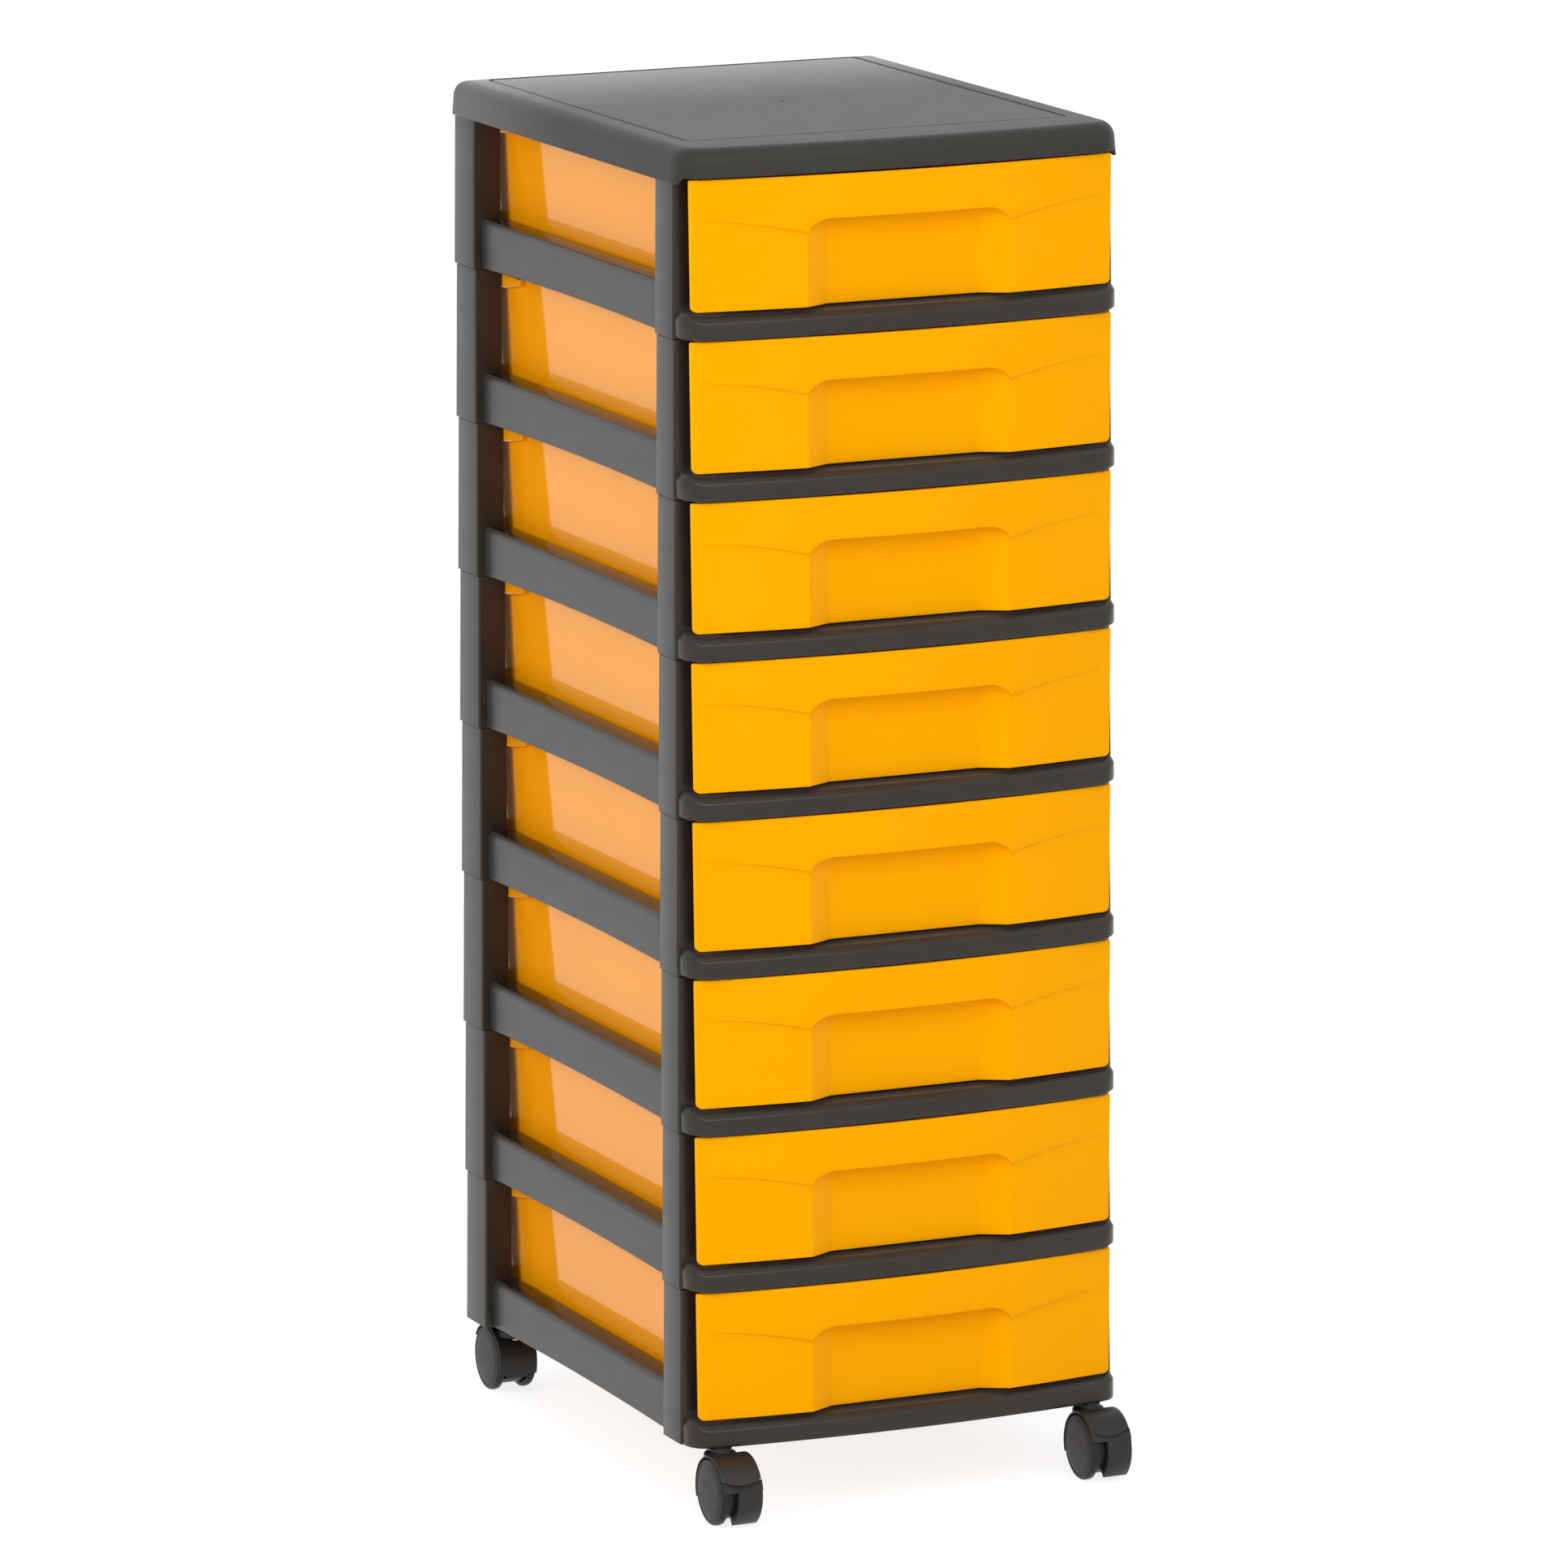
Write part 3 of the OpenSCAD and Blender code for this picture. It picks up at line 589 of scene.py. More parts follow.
def front_columns():
    """X positions across the front: close together at its corners and at the recess's edges."""
    vx = RECESS_VERTEX[0]
    near = 0.8  # columns this close on both sides of an edge
    slope = vx - near - RECESS_FLOOR_X
    xs = [DRAWER_HALF - d for d in FRONT_ROWS + (1.6, 2.4, 3.5)]
    xs += [WING_END_X + 0.6, WING_END_X]
    xs += [vx + (WING_END_X - vx) * i / WING_STEPS for i in range(WING_STEPS - 1, 0, -1)]
    xs += [vx + near, vx + EDGE, vx, vx - EDGE, vx - near]
    xs += [RECESS_FLOOR_X + slope * i / SLOPE_STEPS for i in range(SLOPE_STEPS - 1, 0, -1)]
    xs += [RECESS_FLOOR_X + near, RECESS_FLOOR_X, RECESS_FLOOR_X - near]
    xs += RECESS_COLUMNS
    return xs + [0] + [-x for x in reversed(xs)]


def quarter(radius, distance):
    """How far a rounded edge lies behind its full height at a distance from the corner."""
    if distance >= radius:
        return 0
    return radius - math.sqrt(max(radius**2 - (radius - distance) ** 2, 0))


def front_grid(back):
    """Columns of (x, y, z) from the front's lower to its upper edge. back is 0 for the outer
    face and the wall's thickness for the inner one."""
    z0, z1 = DRAWER_Z
    low_r, top_r, soft = FRONT_EDGES
    last = FRONT_ROWS[-1]
    cols = []
    for x in front_columns():
        d = DRAWER_HALF - abs(x)
        zb = z0 + quarter(low_r, d)
        zt = z1 - quarter(top_r, d)
        s = set_back(x)
        # soft corners where the recess's slope meets its floor and the face
        line = edge_z(x) + back
        r1, r2 = (min(soft_r, s / 2.2) for soft_r in RECESS_SOFT)
        rows = [(zb + e, s) for e in FRONT_ROWS]
        rows += [(zb + last + (line - r2 - zb - last) * i / 7, s) for i in range(1, 7)]
        rows += [(line - r2, s), (line - 0.3 * r2, s - 0.3 * r2), (line, s - r2)]
        rows += [(line, r1), (line + 0.3 * r1, 0.3 * r1), (line + r1, 0)]
        rows += [(line + r1 + (zt - last - line - r1) * i / 5, 0) for i in range(1, 5)]
        rows += [(zt - e, 0) for e in reversed(FRONT_ROWS)]
        col = []
        for z, depth in rows:
            near = min(d, z - zb, zt - z)
            if back == 0:
                depth += quarter(soft, near)
            lean = FRONT_LEAN * (z1 - z) / (z1 - z0) * (x / DRAWER_HALF)
            col.append((x - lean, face_y(x) + depth + back, z))
        cols.append(col)
    return cols


def add_front(shape):
    outer, inner = front_grid(0), front_grid(DRAWER_T)
    ids_out = [shape.ring(c) for c in outer]
    ids_in = [shape.ring(c) for c in inner]
    shape.bridge_all(ids_out, closed=False)
    shape.bridge_all(ids_in, closed=False)
    shape.bridge(ids_out[0], ids_in[0], closed=False)
    shape.bridge(ids_out[-1], ids_in[-1], closed=False)
    for end in (0, -1):
        shape.bridge([c[end] for c in ids_out], [c[end] for c in ids_in], closed=False)


def wall_path(inset):
    """Half of the box's walls in plan, from the front right round to the middle of the back."""
    half, back, _, r = DRAWER_BOX
    x, y, r = half - inset, back - inset, max(r - inset, 1.5)
    front = face_y(half) + DRAWER_T - FRONT_OVERLAP
    right = [(x, front), (x, front + 4), (x, y - r - 60), (x, y - r - CORNER_GUARD)]
    corner = arc(x - r, y - r, r, 0, 90, DRAWER_CORNER_STEPS)
    return right + corner + [(x - r - CORNER_GUARD, y)]


def wall_section():
    """The walls' and the floor edge's outline: inset from the rim, and height."""
    draft = DRAWER_BOX[2]
    z0, z1, w, foot = DRAWER_FLOOR_Z, DRAWER_WALL_TOP, DRAWER_WALL, DRAWER_FOOT_R
    middle = (z0 + z1) / 2
    outer = [
        (0.6, z1),
        (0.15, z1 - 0.2),
        (0.0, z1 - 0.7),
        (0.02, z1 - 1.2),
        (draft * 0.5, middle),
        (draft * 0.92, z0 + foot + 0.6),
        (draft * 0.93, z0 + foot),
    ]
    turns = [math.radians(d) for d in (20, 40, 60, 80, 90)]
    outer += [
        (draft + foot - foot * math.cos(a), z0 + foot - foot * math.sin(a)) for a in turns
    ]
    inner = [
        (draft + w + foot, z0 + w),
        (draft + w + foot * 0.3, z0 + w + foot * 0.3),
        (draft * 0.93 + w, z0 + w + foot),
        (draft * 0.5 + w, middle),
        (w, z1 - 0.7),
        (w - 0.15, z1 - 0.2),
        (w - 0.6, z1),
    ]
    return outer + [(FLOOR_RIM, z0), (FLOOR_RIM, z0 + w)] + inner


def add_walls(shape):
    """Drafted walls with a rounded rim and a rounded foot, and the floor between them."""
    rings = []
    for inset, z in wall_section():
        right = wall_path(inset)
        rings.append(at_z([(-x, y) for x, y in right] + right[::-1], z))
    ids = [shape.ring(r) for r in rings]
    shape.bridge_all(ids + ids[:1], closed=False)
    half, back, _, _ = DRAWER_BOX
    at_walls, at_front = SHEET_OVERLAP
    inner = half - FLOOR_RIM + at_walls
    end = back - FLOOR_RIM + at_walls
    xs = [x for x in reversed(front_columns()) if abs(x) <= inner]
    edge = [(x, face_y(x) + set_back(x) + DRAWER_T - at_front) for x in xs]
    corner_y = face_y(inner) + DRAWER_T - at_front
    outline = [(-inner, corner_y)] + edge + [(inner, corner_y), (inner, end), (-inner, end)]
    shape.loft([at_z(outline, z) for z in FLOOR_Z])


def add_floor_strips(shape):
    """The floor under the front's edge strips, left and right of the side walls' feet."""
    half = DRAWER_BOX[0]
    near, far, depth = FLOOR_STRIP
    front = face_y(half - (near + far) / 2) + DRAWER_T - FRONT_OVERLAP
    for side in (-1, 1):
        lo, hi = sorted((side * (half - near), side * (half - far)))
        box(shape, (lo, front - 0.2, FLOOR_Z[0]), (hi, front + depth, FLOOR_Z[1]), 0.05)


def add_lugs(shape):
    """Stop lugs at the rim's rear, their underside rising towards the front."""
    x1, y0, y1, y2, z0, z_front = LUG
    z1 = DRAWER_WALL_TOP - 0.05
    for side in (-1, 1):
        rings = []
        for x, inset in ((DRAWER_BOX[0] - LUG_ROOT, 0), (x1 - LUG_EDGE, 0), (x1, LUG_EDGE)):
            outline = [
                (y0 + inset, z1 - inset * 0.3),
                (y0 + inset, z_front + inset * 0.3),
                (y1, z0 + inset),
                (y2 - inset, z0 + inset),
                (y2 - inset, z1 - inset * 0.3),
            ]
            rings.append([(side * x, y, z) for y, z in outline])
        shape.loft(rings)


def drawer_mesh(face_material, wall_material):
    """One moulding: satin front, smooth walls."""
    shape = Shape()
    add_front(shape)
    add_walls(shape)
    add_floor_strips(shape)
    add_lugs(shape)
    data = shape.mesh("drawer_moulding")
    data.materials.append(face_material)
    data.materials.append(wall_material)
    for poly in data.polygons:
        x, y, _ = poly.center / MM
        inside = y > face_y(min(abs(x), DRAWER_HALF)) + set_back(x) + DRAWER_T * 0.7
        poly.material_index = 1 if inside else 0
    return data


# ------------------------------------------------------------------ cover


def cover_plan(inset):
    return bowed(COVER_HALF, BOW, COVER_FRONT_R, FRAME_D + COVER_OVER, COVER_REAR_R, inset)


def lip(inset, z):
    """The cover's lower edge, higher where its front is cut."""
    points = cover_plan(inset)
    return [(x, y, z + (COVER_FRONT_CUT if y < COVER_CUT_Y else 0)) for x, y in points]


def cover_mesh():
    """Rounded cover with a sunk panel, a skirt and ribs on its underside."""
    rings = [at_z(cover_plan(inset), z) for inset, z in COVER_INSIDE]
    rings += [lip(*row) for row in COVER_LIP]
    rings.append(at_z(cover_plan(COVER_FLARE), COVER_SPRING))
    for a in COVER_TURNS:
        t = math.radians(a)
        inset = COVER_FLARE + (COVER_R - COVER_FLARE) * (1 - math.cos(t))
        rings.append(at_z(cover_plan(inset), COVER_SPRING + COVER_R * math.sin(t) - LIFT))
    shape = Shape()
    ids = [shape.ring(r) for r in rings]
    shape.bridge_all(ids)
    shape.faces.append(tuple(ids[0]))
    top = COVER_H - LIFT
    groove = [shape.ring(at_z(panel_plan(grow), top - deep)) for grow, deep in PANEL_GROOVE]
    shape.bridge(ids[-1], groove[0])
    shape.bridge_all(groove)
    add_panel_centre(shape, groove[-1], top - PANEL_GROOVE[-1][1])
    add_cover_ribs(shape)
    return shape.mesh("cover_moulding", sharp=COVER_SHARP)


def panel_plan(grow, steps=BOW_STEPS, n=CORNER_STEPS):
    """The sunk panel's outline, point for point in the order of bowed."""
    w, y0, y1, r = PANEL
    w, y0, y1, r = w + grow, y0 - grow, y1 + grow, r + grow
    front = [(r - w + 2 * (w - r) * i / steps, y0) for i in range(steps + 1)]
    return (
        front
        + arc(w - r, y0 + r, r, -90, 0, n)
        + arc(w - r, y1 - r, r, 0, 90, n)
        + arc(r - w, y1 - r, r, 90, 180, n)
        + arc(r - w, y0 + r, r, 180, 270, n)
    )


def add_panel_centre(shape, edge, z):
    """The panel's field with the shallow dimple of the moulding's gate in its middle."""
    cy = FRAME_D / 2
    angles = [math.atan2(shape.verts[i][1] - cy, shape.verts[i][0]) for i in edge]
    loops = [edge]
    for r, deep in GATE_MARK:
        ring = [(r * math.cos(a), cy + r * math.sin(a), z - deep) for a in angles]
        loops.append(shape.ring(ring))
    shape.bridge_all(loops)
    shape.faces.append(tuple(loops[-1]))


def add_cover_ribs(shape):
    z0, z1 = COVER_DROP + COVER_RIB_Z, COVER_CEILING
    half, t = HALF_W - 2.5, COVER_RIB / 2
    for y in (FRAME_D / 4, FRAME_D / 2, FRAME_D * 3 / 4):
        box(shape, (-half, y - t, z0), (half, y + t, z1), 0.2)
    for x in (-HALF_W / 3, HALF_W / 3):
        box(shape, (x - t, 3, z0), (x + t, FRAME_D - 2, z1), 0.2)


# ------------------------------------------------------------------ casters


def on_axle(points):
    """Moves points from the axle's frame to the caster's: origin on the floor under the stem."""
    return [(x, y - TRAIL, z + WHEEL_R) for x, y, z in points]


def hood_section():
    """The roof's outline in x and radius, with points all along its width."""
    corners = rect(-HOOD_HALF, HOOD_IN, HOOD_HALF, HOOD_OUT, 0.45, 3)
    section = []
    for (x0, r0), (x1, r1) in zip(corners, corners[1:] + corners[:1]):
        n = max(1, round(abs(x1 - x0) / HOOD_STEP_X))
        section += [(x0 + (x1 - x0) * k / n, r0 + (r1 - r0) * k / n) for k in range(n)]
    return section


def add_roof(shape, front_a, sag):
    """Roof over both wheels. Its front edge rises by sag degrees towards its ends."""
    section = hood_section()
    rings = []
    for i in range(HOOD_STEPS + 1):
        t = i / HOOD_STEPS
        ring = []
        for x, r in section:
            end = 180 - front_a - sag * (x / HOOD_HALF) ** 2
            ring.append((x, r, -HOOD_REAR_A + (end + HOOD_REAR_A) * t))
        rings.append(radial(ring))
    shape.loft(rings)


def hood_mesh(rear):
    """Roof, core between the wheels, the block behind it that carries the stem, and neck."""
    shape = Shape()
    if rear:
        add_roof(shape, HOOD_REAR_CASTER_A, 0.0)
    else:
        add_roof(shape, HOOD_FRONT_A, SMILE_A)
    narrow = CORE_HALF if rear else ARM_X[0] - ARM_GAP
    edge = 0.4
    profile = [(0, -CORE_HALF), (CORE_R - edge, -CORE_HALF), (CORE_R, -CORE_HALF + edge)]
    profile += [(CORE_R, narrow - edge), (CORE_R - edge, narrow), (0, narrow)]
    lathe(shape, profile, ROUND_STEPS)
    side = arc(0, 0, HOOD_IN + HOOD_JOIN, *CORE_ARC) + CORE_SIDE
    shape.loft([[(x, y, z) for y, z in side] for x in (-CORE_HALF, narrow)])
    deep = arc(0, 0, HOOD_IN + HOOD_JOIN, *CORE_DEEP_ARC) + CORE_DEEP
    shape.loft([[(x, y, z) for y, z in deep] for x in (narrow - 0.5, CORE_HALF)])
    shape.verts = on_axle(shape.verts)
    lathe(shape, NECK, ROUND_STEPS, "z")
    return shape.mesh("caster_hood_rear" if rear else "caster_hood")


def wheel_mesh():
    """Wheel towards +X: smooth domed outer disc with a rim ring, hollow ribbed inner side."""
    shape = Shape()
    t, edge = WHEEL_T, WHEEL_EDGE_R
    turns = [math.radians(d) for d in (0, 18, 36, 54, 72, 86)]
    profile = list(WHEEL_INSIDE)
    profile += [
        (WHEEL_OUT - edge + edge * math.cos(a), t - edge + edge * math.sin(a)) for a in turns
    ]
    profile += [(r, t + rise) for r, rise in WHEEL_DISC]
    lathe(shape, [(r, h + WHEEL_IN_X) for r, h in profile], WHEEL_STEPS)
    rib = Shape()
    x0, x1, r0, r1, thick = WHEEL_RIB
    box(rib, (WHEEL_IN_X + x0, r0, -thick / 2), (WHEEL_IN_X + x1, r1, thick / 2), 0.15)
    for i in range(WHEEL_RIBS):
        shape.add(spun(rib.verts, 2 * math.pi * i / WHEEL_RIBS), rib.faces)
    shape.verts = on_axle(shape.verts)
    return shape.mesh("caster_wheel")


def tread_section(u, gap):
    """Outline of the tread in radius and angle at u, from -1 to 1 across its width. gap is 1 in
    the grooves between its teeth and 0 on them."""
    low = 180 - TREAD_A[0]
    inner = HOOD_OUT + TREAD_FIT
    skin = HOOD_OUT + TREAD_SKIN
    out = skin + 0.1 + (TREAD_OUT - 0.52) * (1 - u * u) ** 0.15
    top = 180 - TREAD_A[1] + 0.7 - SMILE_A * u * u
    rim = top + TREAD_RIM_A
    cut = gap * min(TOOTH_DEPTH, out - inner - 0.3)
    section = [
        (inner, top + 0.7 * gap),
        (out - 0.2 - cut, rim - 2.9),
        (out - 0.05 - cut, rim - 2.5),
        (out - 0.6 * cut, rim - 1.6),
        (out, rim - 0.6),
        (out - 0.15, rim - 0.1),
        (skin + 0.1, rim + 0.5),
        (skin, rim + 1.0),
    ]
    section += [(skin, rim + 1.0 + (low - 1.3 - rim) * k / 5) for k in range(1, 6)]
    section += [(HOOD_OUT - 0.2, low), (HOOD_IN + 0.1, low - 0.1), (HOOD_IN + 0.1, low - 0.4)]
    section += [(inner, low - 0.6 + (top + 1.2 - low + 0.6) * k / 8) for k in range(9)]
    return section


def lever_mesh():
    """Brake lever: crescent tread with ridges, flap over one wheel, arm between the wheels."""
    shape = Shape()
    steps = TEETH * TOOTH_STEPS
    rings = []
    for i in range(steps + 1):
        x = -HOOD_HALF + 2 * HOOD_HALF * i / steps
        gap = 1.0 if i % TOOTH_STEPS in TOOTH_GAP else 0.0
        section = tread_section(x / HOOD_HALF, gap)
        rings.append(radial([(x, r, a) for r, a in section]))
    shape.loft(rings)
    low, end = 180 - TREAD_A[0], 180 + FLAP_END_A
    arm = (ARM_X[0] + LIFT, ARM_X[1] - LIFT)
    shell_ring(shape, FLAP_X, (HOOD_IN + LIFT, HOOD_OUT - 0.05), low - 0.45, end, 30, 0.4)
    shell_ring(shape, WEB_X, (WEB_IN, HOOD_IN + 0.2), low + 0.5, end - 0.5, 24)
    shell_ring(shape, arm, EYE_R, 0, 360, 40, ARM_EDGE)
    shell_ring(shape, arm, (ARM_IN, HOOD_IN + HOOD_JOIN), low, end - ARM_SHORT, 20, ARM_EDGE)
    return shape


def spun(verts, angle):
    """Points turned about the X axis by an angle in radians."""
    c, s = math.cos(angle), math.sin(angle)
    return [(x, y * c - z * s, y * s + z * c) for x, y, z in verts]


def turned(shape, degrees):
    """A copy of an axle-frame shape, turned about the axle and moved to the caster's frame."""
    out = Shape()
    out.verts = on_axle(spun(shape.verts, math.radians(degrees)))
    out.faces = shape.faces
    return out


# ------------------------------------------------------------------ materials

YELLOW = (0.98, 0.405, 0.0004)
YELLOW_SIDE = (0.98, 0.345, 0.0004)
DARK = (0.012, 0.0103, 0.0085)
COVER_DARK = (0.02, 0.0188, 0.017)
CASTER_DARK = (0.013, 0.0112, 0.0095)
WHEEL_DARK = (0.013, 0.0115, 0.0105)
STEEL = (0.55, 0.55, 0.54, 1)
WHITE = (1.0, 1.0, 1.0, 1.0)
YELLOW_GLOSS = (1.0, 0.45, 0.0, 1.0)
WARM_GLOSS = (1.0, 0.93, 0.85, 1.0)
PLASTIC_IOR = 1.49
SCATTER_RADIUS = (1.0, 0.55, 0.08)
SCATTER_SCALE = 0.003
GRAIN_DEPTH = 0.0004
OBJECT_SHIFT = 7.0  # the patterns of two objects lie up to this far apart
FLOW = (9, 4, 0.55, (1, 1, 0.4))  # noise: scale, detail, roughness, stretch
SCUFF = (90, 6, 0.65, (1, 0.25, 1))
TURNING = (900, 3, 0.6, (1, 1, 6))
GRAIN = (2, 0.5)  # detail and roughness of the grain's noise
WORN_RANGE = (0.3, 0.7)  # of the scuffs' pattern
WEAR = 0.12  # spread of the roughness, where a plastic names none
STEEL_ROUGH = (0.22, 0.4)
COVER_GLOSS_Y = (0.19, 0.36)  # metres from the frames' front line
COVER_GLOSS = (1.85, 0.66)  # factor on the roughness in front of and behind them

PLASTICS = {
    "frame_plastic": dict(
        colour=DARK, rough=0.34, grain=0.04, scale=2200, tint=0.08, spec=0.46, wear=0.1,
        sheen=0.12, gloss=WARM_GLOSS,
    ),
    "cover_plastic": dict(
        colour=COVER_DARK, rough=0.3, grain=0.04, scale=2200, tint=0.08, spec=0.36, wear=0.04,
        sheen=0.12, gloss=WARM_GLOSS,
    ),
    # painted shade: the frame plastic on the ledges, smoother and reflecting much less, so that
    # they look shaded
    "ledge_painted_shade": dict(
        colour=DARK, rough=0.16, grain=0.01, scale=2200, tint=0.08, spec=0.1, wear=0.1,
    ),
    "drawer_face": dict(
        colour=YELLOW, rough=0.42, grain=0.02, scale=1800, tint=0.012, spec=0.25, scatter=0.15,
        gloss=YELLOW_GLOSS,
    ),
    "drawer_wall": dict(
        colour=YELLOW_SIDE, rough=0.05, grain=0.0, scale=1800, tint=0.012, spec=0.32,
        scatter=0.15,
    ),
    "caster_plastic": dict(
        colour=CASTER_DARK, rough=0.42, grain=0.05, scale=2600, tint=0.1, spec=0.4,
    ),
    "wheel_plastic": dict(
        colour=WHEEL_DARK, rough=0.4, grain=0.04, scale=2600, tint=0.1, spec=0.25,
    ),
}


def nodes_of(name):
    mat = bpy.data.materials.new(name)
    mat.use_nodes = True
    tree = mat.node_tree
    return mat, tree, tree.nodes["Principled BSDF"]


def put(target, values):
    """Sets constants on a node's own sockets."""
    for key, value in values.items():
        target.inputs[key].default_value = value


def node(tree, kind, **values):
    made = tree.nodes.new(kind)
    for key, value in values.items():
        if key in made.inputs:
            made.inputs[key].default_value = value
        else:
            setattr(made, key, value)
    return made


def noise(tree, scale, detail=3.0, rough=0.5, stretch=(1, 1, 1)):
    """A noise pattern fixed to the object, shifted by a random amount for each object."""
    coords = node(tree, "ShaderNodeTexCoord")
    info = node(tree, "ShaderNodeObjectInfo")
    shift = node(tree, "ShaderNodeMath", operation="MULTIPLY")
    shift.inputs[1].default_value = OBJECT_SHIFT
    tree.links.new(info.outputs["Random"], shift.inputs[0])
    move = node(tree, "ShaderNodeMapping", Scale=stretch)
    tree.links.new(coords.outputs["Object"], move.inputs["Vector"])
    tree.links.new(shift.outputs[0], move.inputs["Location"])
    made = node(tree, "ShaderNodeTexNoise", Scale=scale, Detail=detail, Roughness=rough)
    tree.links.new(move.outputs["Vector"], made.inputs["Vector"])
    return made.outputs["Fac"]


def ramp(tree, source, low, high, start=0.35, stop=0.65):
    """Maps a pattern to the range low..high."""
    made = node(tree, "ShaderNodeMapRange")
    put(made, {"From Min": start, "From Max": stop, "To Min": low, "To Max": high})
    tree.links.new(source, made.inputs["Value"])
    return made.outputs["Result"]


def flow_marks(tree, colour, tint):
    """The colour, a little darker and lighter in soft clouds."""
    mix = node(tree, "ShaderNodeMix", data_type="RGBA")
    ends = {
        "A": tuple(c * (1 - tint) for c in colour) + (1,),
        "B": tuple(min(c * (1 + tint), 1) for c in colour) + (1,),
    }
    for socket in mix.inputs:
        if socket.type == "RGBA":
            socket.default_value = ends[socket.name]
    tree.links.new(ramp(tree, noise(tree, *FLOW), 0, 1), mix.inputs["Factor"])
    return [s for s in mix.outputs if s.type == "RGBA"][0]


def plastic(name):
    """Moulded plastic: fine grain, soft flow marks in the colour, uneven sheen, light wear."""
    look = PLASTICS[name]
    rough, wear, scatter = look["rough"], look.get("wear", WEAR), look.get("scatter", 0.0)
    mat, tree, shader = nodes_of(name)
    links = tree.links
    put(shader, {
        "IOR": PLASTIC_IOR,
        "Specular IOR Level": look["spec"],
        "Specular Tint": look.get("gloss", WHITE),
        "Sheen Weight": look.get("sheen", 0.0),
    })
    if scatter:
        put(shader, {
            "Subsurface Weight": scatter,
            "Subsurface Radius": SCATTER_RADIUS,
            "Subsurface Scale": SCATTER_SCALE,
        })
    links.new(flow_marks(tree, look["colour"], look["tint"]), shader.inputs["Base Color"])
    scuff = noise(tree, *SCUFF)
    worn = ramp(tree, scuff, rough * (1 - wear), rough * (1 + wear), *WORN_RANGE)
    links.new(worn, shader.inputs["Roughness"])
    bump = node(tree, "ShaderNodeBump", Strength=look["grain"], Distance=GRAIN_DEPTH)
    links.new(noise(tree, look["scale"], *GRAIN), bump.inputs["Height"])
    links.new(bump.outputs["Normal"], shader.inputs["Normal"])
    return mat


def uneven_gloss(mat):
    """Scales the cover's roughness from the front to the rear."""
    tree = mat.node_tree
    rough = tree.nodes["Principled BSDF"].inputs["Roughness"]
    coords = node(tree, "ShaderNodeTexCoord")
    split = node(tree, "ShaderNodeSeparateXYZ")
    scaled = node(tree, "ShaderNodeMath", operation="MULTIPLY")
    tree.links.new(coords.outputs["Object"], split.inputs[0])
    factor = ramp(tree, split.outputs["Y"], *COVER_GLOSS, *COVER_GLOSS_Y)
    tree.links.new(factor, scaled.inputs[0])
    tree.links.new(rough.links[0].from_socket, scaled.inputs[1])
    tree.links.new(scaled.outputs[0], rough)


def steel(name):
    mat, tree, shader = nodes_of(name)
    put(shader, {"Metallic": 1.0, "Base Color": STEEL})
    marks = noise(tree, *TURNING)
    tree.links.new(ramp(tree, marks, *STEEL_ROUGH), shader.inputs["Roughness"])
    return mat


# ------------------------------------------------------------------ studio

SKY_DIFFUSE = 0.64  # the world's level on matt surfaces; in gloss and to the camera it is 1
FLOOR_SIZE = 12000  # half width, in millimetres
FLOOR_WHITE = 0.9
FLOOR_SHADOW = 0.36  # share of the floor's own shading that the camera sees
FLOOR_LIFT = 0.82
LAMPS = (  # name, location, size, power, whether gloss mirrors it
    ("front", (-0.3, -2.7, 2.3), 2.2, 36, True),
    ("left", (-2.8, -0.6, 1.5), 1.8, 34, False),
)
LAMP_TARGET = (0, 0, 0.42)


def studio():
    """A white studio: white all round and on the floor, with soft lamps in front and left."""
    world = bpy.data.worlds.new("studio")
    bpy.context.scene.world = world
    world.use_nodes = True
    tree = world.node_tree
    sky = tree.nodes["Background"]
    sky.inputs["Color"].default_value = WHITE
    tree.links.new(switch(tree, shown(tree), SKY_DIFFUSE, 1.0), sky.inputs["Strength"])
    add_floor()
    for lamp in LAMPS:
        add_light(*lamp)


def shown(tree):
    """1 for the rays that show the background: the camera's, mirrored and transmitted ones."""
    path = node(tree, "ShaderNodeLightPath")
    first = node(tree, "ShaderNodeMath", operation="MAXIMUM")
    second = node(tree, "ShaderNodeMath", operation="MAXIMUM")
    tree.links.new(path.outputs["Is Camera Ray"], first.inputs[0])
    tree.links.new(path.outputs["Is Glossy Ray"], first.inputs[1])
    tree.links.new(first.outputs[0], second.inputs[0])
    tree.links.new(path.outputs["Is Transmission Ray"], second.inputs[1])
    return second.outputs[0]


def switch(tree, source, off, on):
    """The value off where the source is 0, and on where it is 1."""
    return ramp(tree, source, off, on, 0.0, 1.0)


def add_floor():
    """A white floor that keeps the tower's shadow."""
    mat, tree, shader = nodes_of("studio_floor")
    put(shader, {"Roughness": 0.9, "Specular IOR Level": 0.0, "Emission Color": WHITE})
    seen = shown(tree)
    shade = node(tree, "ShaderNodeCombineColor")
    grey = switch(tree, seen, FLOOR_WHITE, FLOOR_WHITE * FLOOR_SHADOW)
    for channel in ("Red", "Green", "Blue"):
        tree.links.new(grey, shade.inputs[channel])
    tree.links.new(shade.outputs["Color"], shader.inputs["Base Color"])
    tree.links.new(switch(tree, seen, 0.0, FLOOR_LIFT), shader.inputs["Emission Strength"])
    shape = Shape()
    corners = [(-1, -1), (1, -1), (1, 1), (-1, 1)]
    plan = [(x * FLOOR_SIZE, y * FLOOR_SIZE, 0) for x, y in corners]
    shape.faces.append(tuple(shape.ring(plan)))
    place("studio_floor", shape.mesh("studio_floor"), (0, 0, 0), mat)


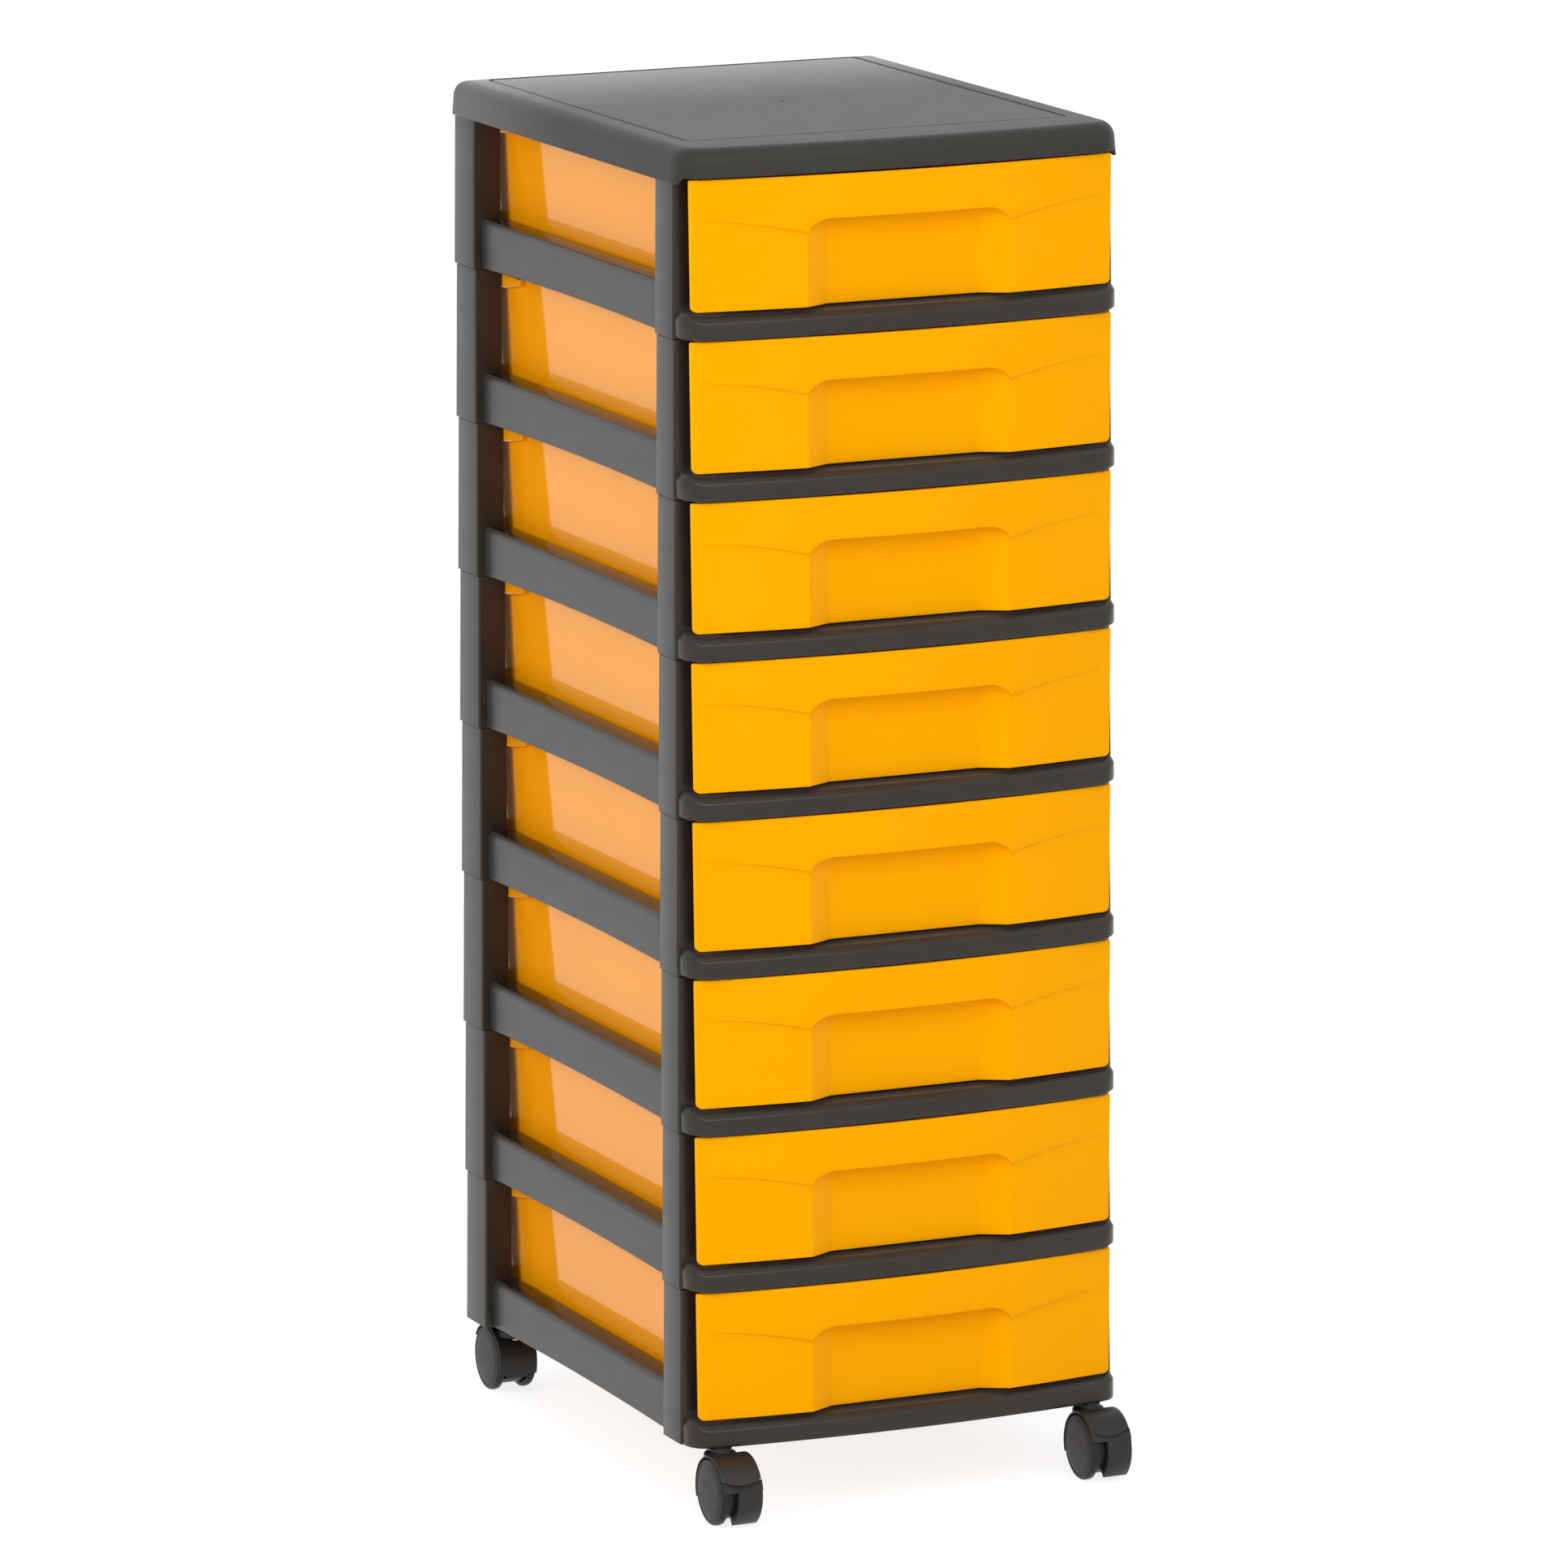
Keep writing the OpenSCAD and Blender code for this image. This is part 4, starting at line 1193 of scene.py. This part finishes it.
def add_light(name, location, size, power, mirrored):
    data = bpy.data.lights.new(name, "AREA")
    data.size = size
    data.energy = power
    lamp = bpy.data.objects.new(name, data)
    lamp.location = location
    aim = Vector(LAMP_TARGET) - Vector(location)
    lamp.rotation_euler = aim.to_track_quat("-Z", "Y").to_euler()
    lamp.visible_glossy = mirrored
    bpy.context.scene.collection.objects.link(lamp)


CAMERA_AT = (-2.4597, -5.3729, 1.5863)  # metres, from the front line and the frames' underside
CAMERA_YAW, CAMERA_PITCH, CAMERA_ROLL = 23.897, 11.428, 0.303
CAMERA_LENS = 234.02
CAMERA_SENSOR = 36
CAMERA_END = 100  # metres


def camera():
    """The camera: yaw from +Y towards +X, pitch downwards, roll clockwise."""
    yaw, pitch, roll = (math.radians(a) for a in (CAMERA_YAW, CAMERA_PITCH, CAMERA_ROLL))
    ahead = Vector(
        (math.sin(yaw) * math.cos(pitch), math.cos(yaw) * math.cos(pitch), -math.sin(pitch))
    )
    right = Vector((math.cos(yaw), -math.sin(yaw), 0))
    down = ahead.cross(right)
    r = right * math.cos(roll) + down * math.sin(roll)
    d = down * math.cos(roll) - right * math.sin(roll)
    data = bpy.data.cameras.new("camera")
    data.lens = CAMERA_LENS
    data.sensor_width = CAMERA_SENSOR
    data.clip_end = CAMERA_END
    cam = bpy.data.objects.new("camera", data)
    bpy.context.scene.collection.objects.link(cam)
    x, y, z = CAMERA_AT
    place_at = Vector((x, y + FRONT * MM, z + BASE * MM))
    axes = Matrix((r, -d, -ahead)).transposed()
    cam.matrix_world = Matrix.Translation(place_at) @ axes.to_4x4()
    bpy.context.scene.camera = cam


# ------------------------------------------------------------------ assembly


def stand_in(obj, body, node_name):
    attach(obj, body)
    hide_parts(node_name)


def build_tower():
    dark, cover_dark = plastic("frame_plastic"), plastic("cover_plastic")
    uneven_gloss(cover_dark)
    # the ledges' plastic reflects less than the frame's: painted shade
    face, wall, ledge = (plastic(n) for n in ("drawer_face", "drawer_wall", "ledge_painted_shade"))
    lowest_data = frame_mesh(dark, ledge, plain_ends=True)
    frame_data = frame_mesh(dark, ledge)
    drawer_data = drawer_mesh(face, wall)
    for i in range(TIERS):
        base = (0, FRONT, BASE + i * PITCH)
        tier = i + 1
        data = frame_data if i else lowest_data
        obj = place(f"frame_{tier}_moulding", data, base, dark)
        stand_in(obj, "stack", f"frame_{tier}")
        obj = place(f"drawer_{tier}_moulding", drawer_data, base, face)
        stand_in(obj, f"drawer_{tier}", f"drawer_{tier}")
    top = BASE + TIERS * PITCH - COVER_DROP
    obj = place("cover_moulding", cover_mesh(), (0, FRONT, top), cover_dark)
    stand_in(obj, "stack", "top_cover")


def build_casters():
    shell, disc, metal = plastic("caster_plastic"), plastic("wheel_plastic"), steel("pin_steel")
    hoods = {"front": hood_mesh(False), "rear": hood_mesh(True)}
    right_wheel = wheel_mesh()
    left_wheel = mirror_mesh(right_wheel, "caster_wheel_left")
    lever = lever_mesh()
    levers = {
        "front_left": turned(lever, BRAKE_A).mesh("brake_lever_down"),
        "front_right": turned(lever, 0).mesh("brake_lever_up"),
    }
    for corner in CORNERS:
        end, which_side = corner.split("_")
        side = -1 if which_side == "left" else 1
        turn = 180 if end == "rear" else 0
        at = (side * STEM_X, FRONT + STEM_Y[end], 0)
        obj = place(f"{corner}_hood_moulding", hoods[end], at, shell, turn)
        stand_in(obj, f"{corner}_caster", f"{corner}_hood")
        for which, sign in (("outer", 1), ("inner", -1)):
            way = side * sign * (-1 if end == "rear" else 1)
            data = right_wheel if way > 0 else left_wheel
            obj = place(f"{corner}_{which}_wheel_moulding", data, at, disc, turn)
            stand_in(obj, f"{corner}_{which}_wheel", f"{corner}_{which}_wheel")
        if corner in levers:
            obj = place(f"{corner}_brake_lever_moulding", levers[corner], at, shell)
            stand_in(obj, f"{corner}_brake_lever", f"{corner}_brake_lever")
        for pin in ("stem", "axle"):
            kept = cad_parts[f"{corner}_{pin}"]
            kept.data.materials.clear()
            kept.data.materials.append(metal)


def mirror_mesh(data, name):
    copy = data.copy()
    copy.name = name
    bm = bmesh.new()
    bm.from_mesh(copy)
    for v in bm.verts:
        v.co.x = -v.co.x
    bmesh.ops.reverse_faces(bm, faces=bm.faces)
    bm.to_mesh(copy)
    bm.free()
    return copy


build_tower()
build_casters()
studio()
camera()
bpy.context.scene.view_settings.view_transform = "Standard"
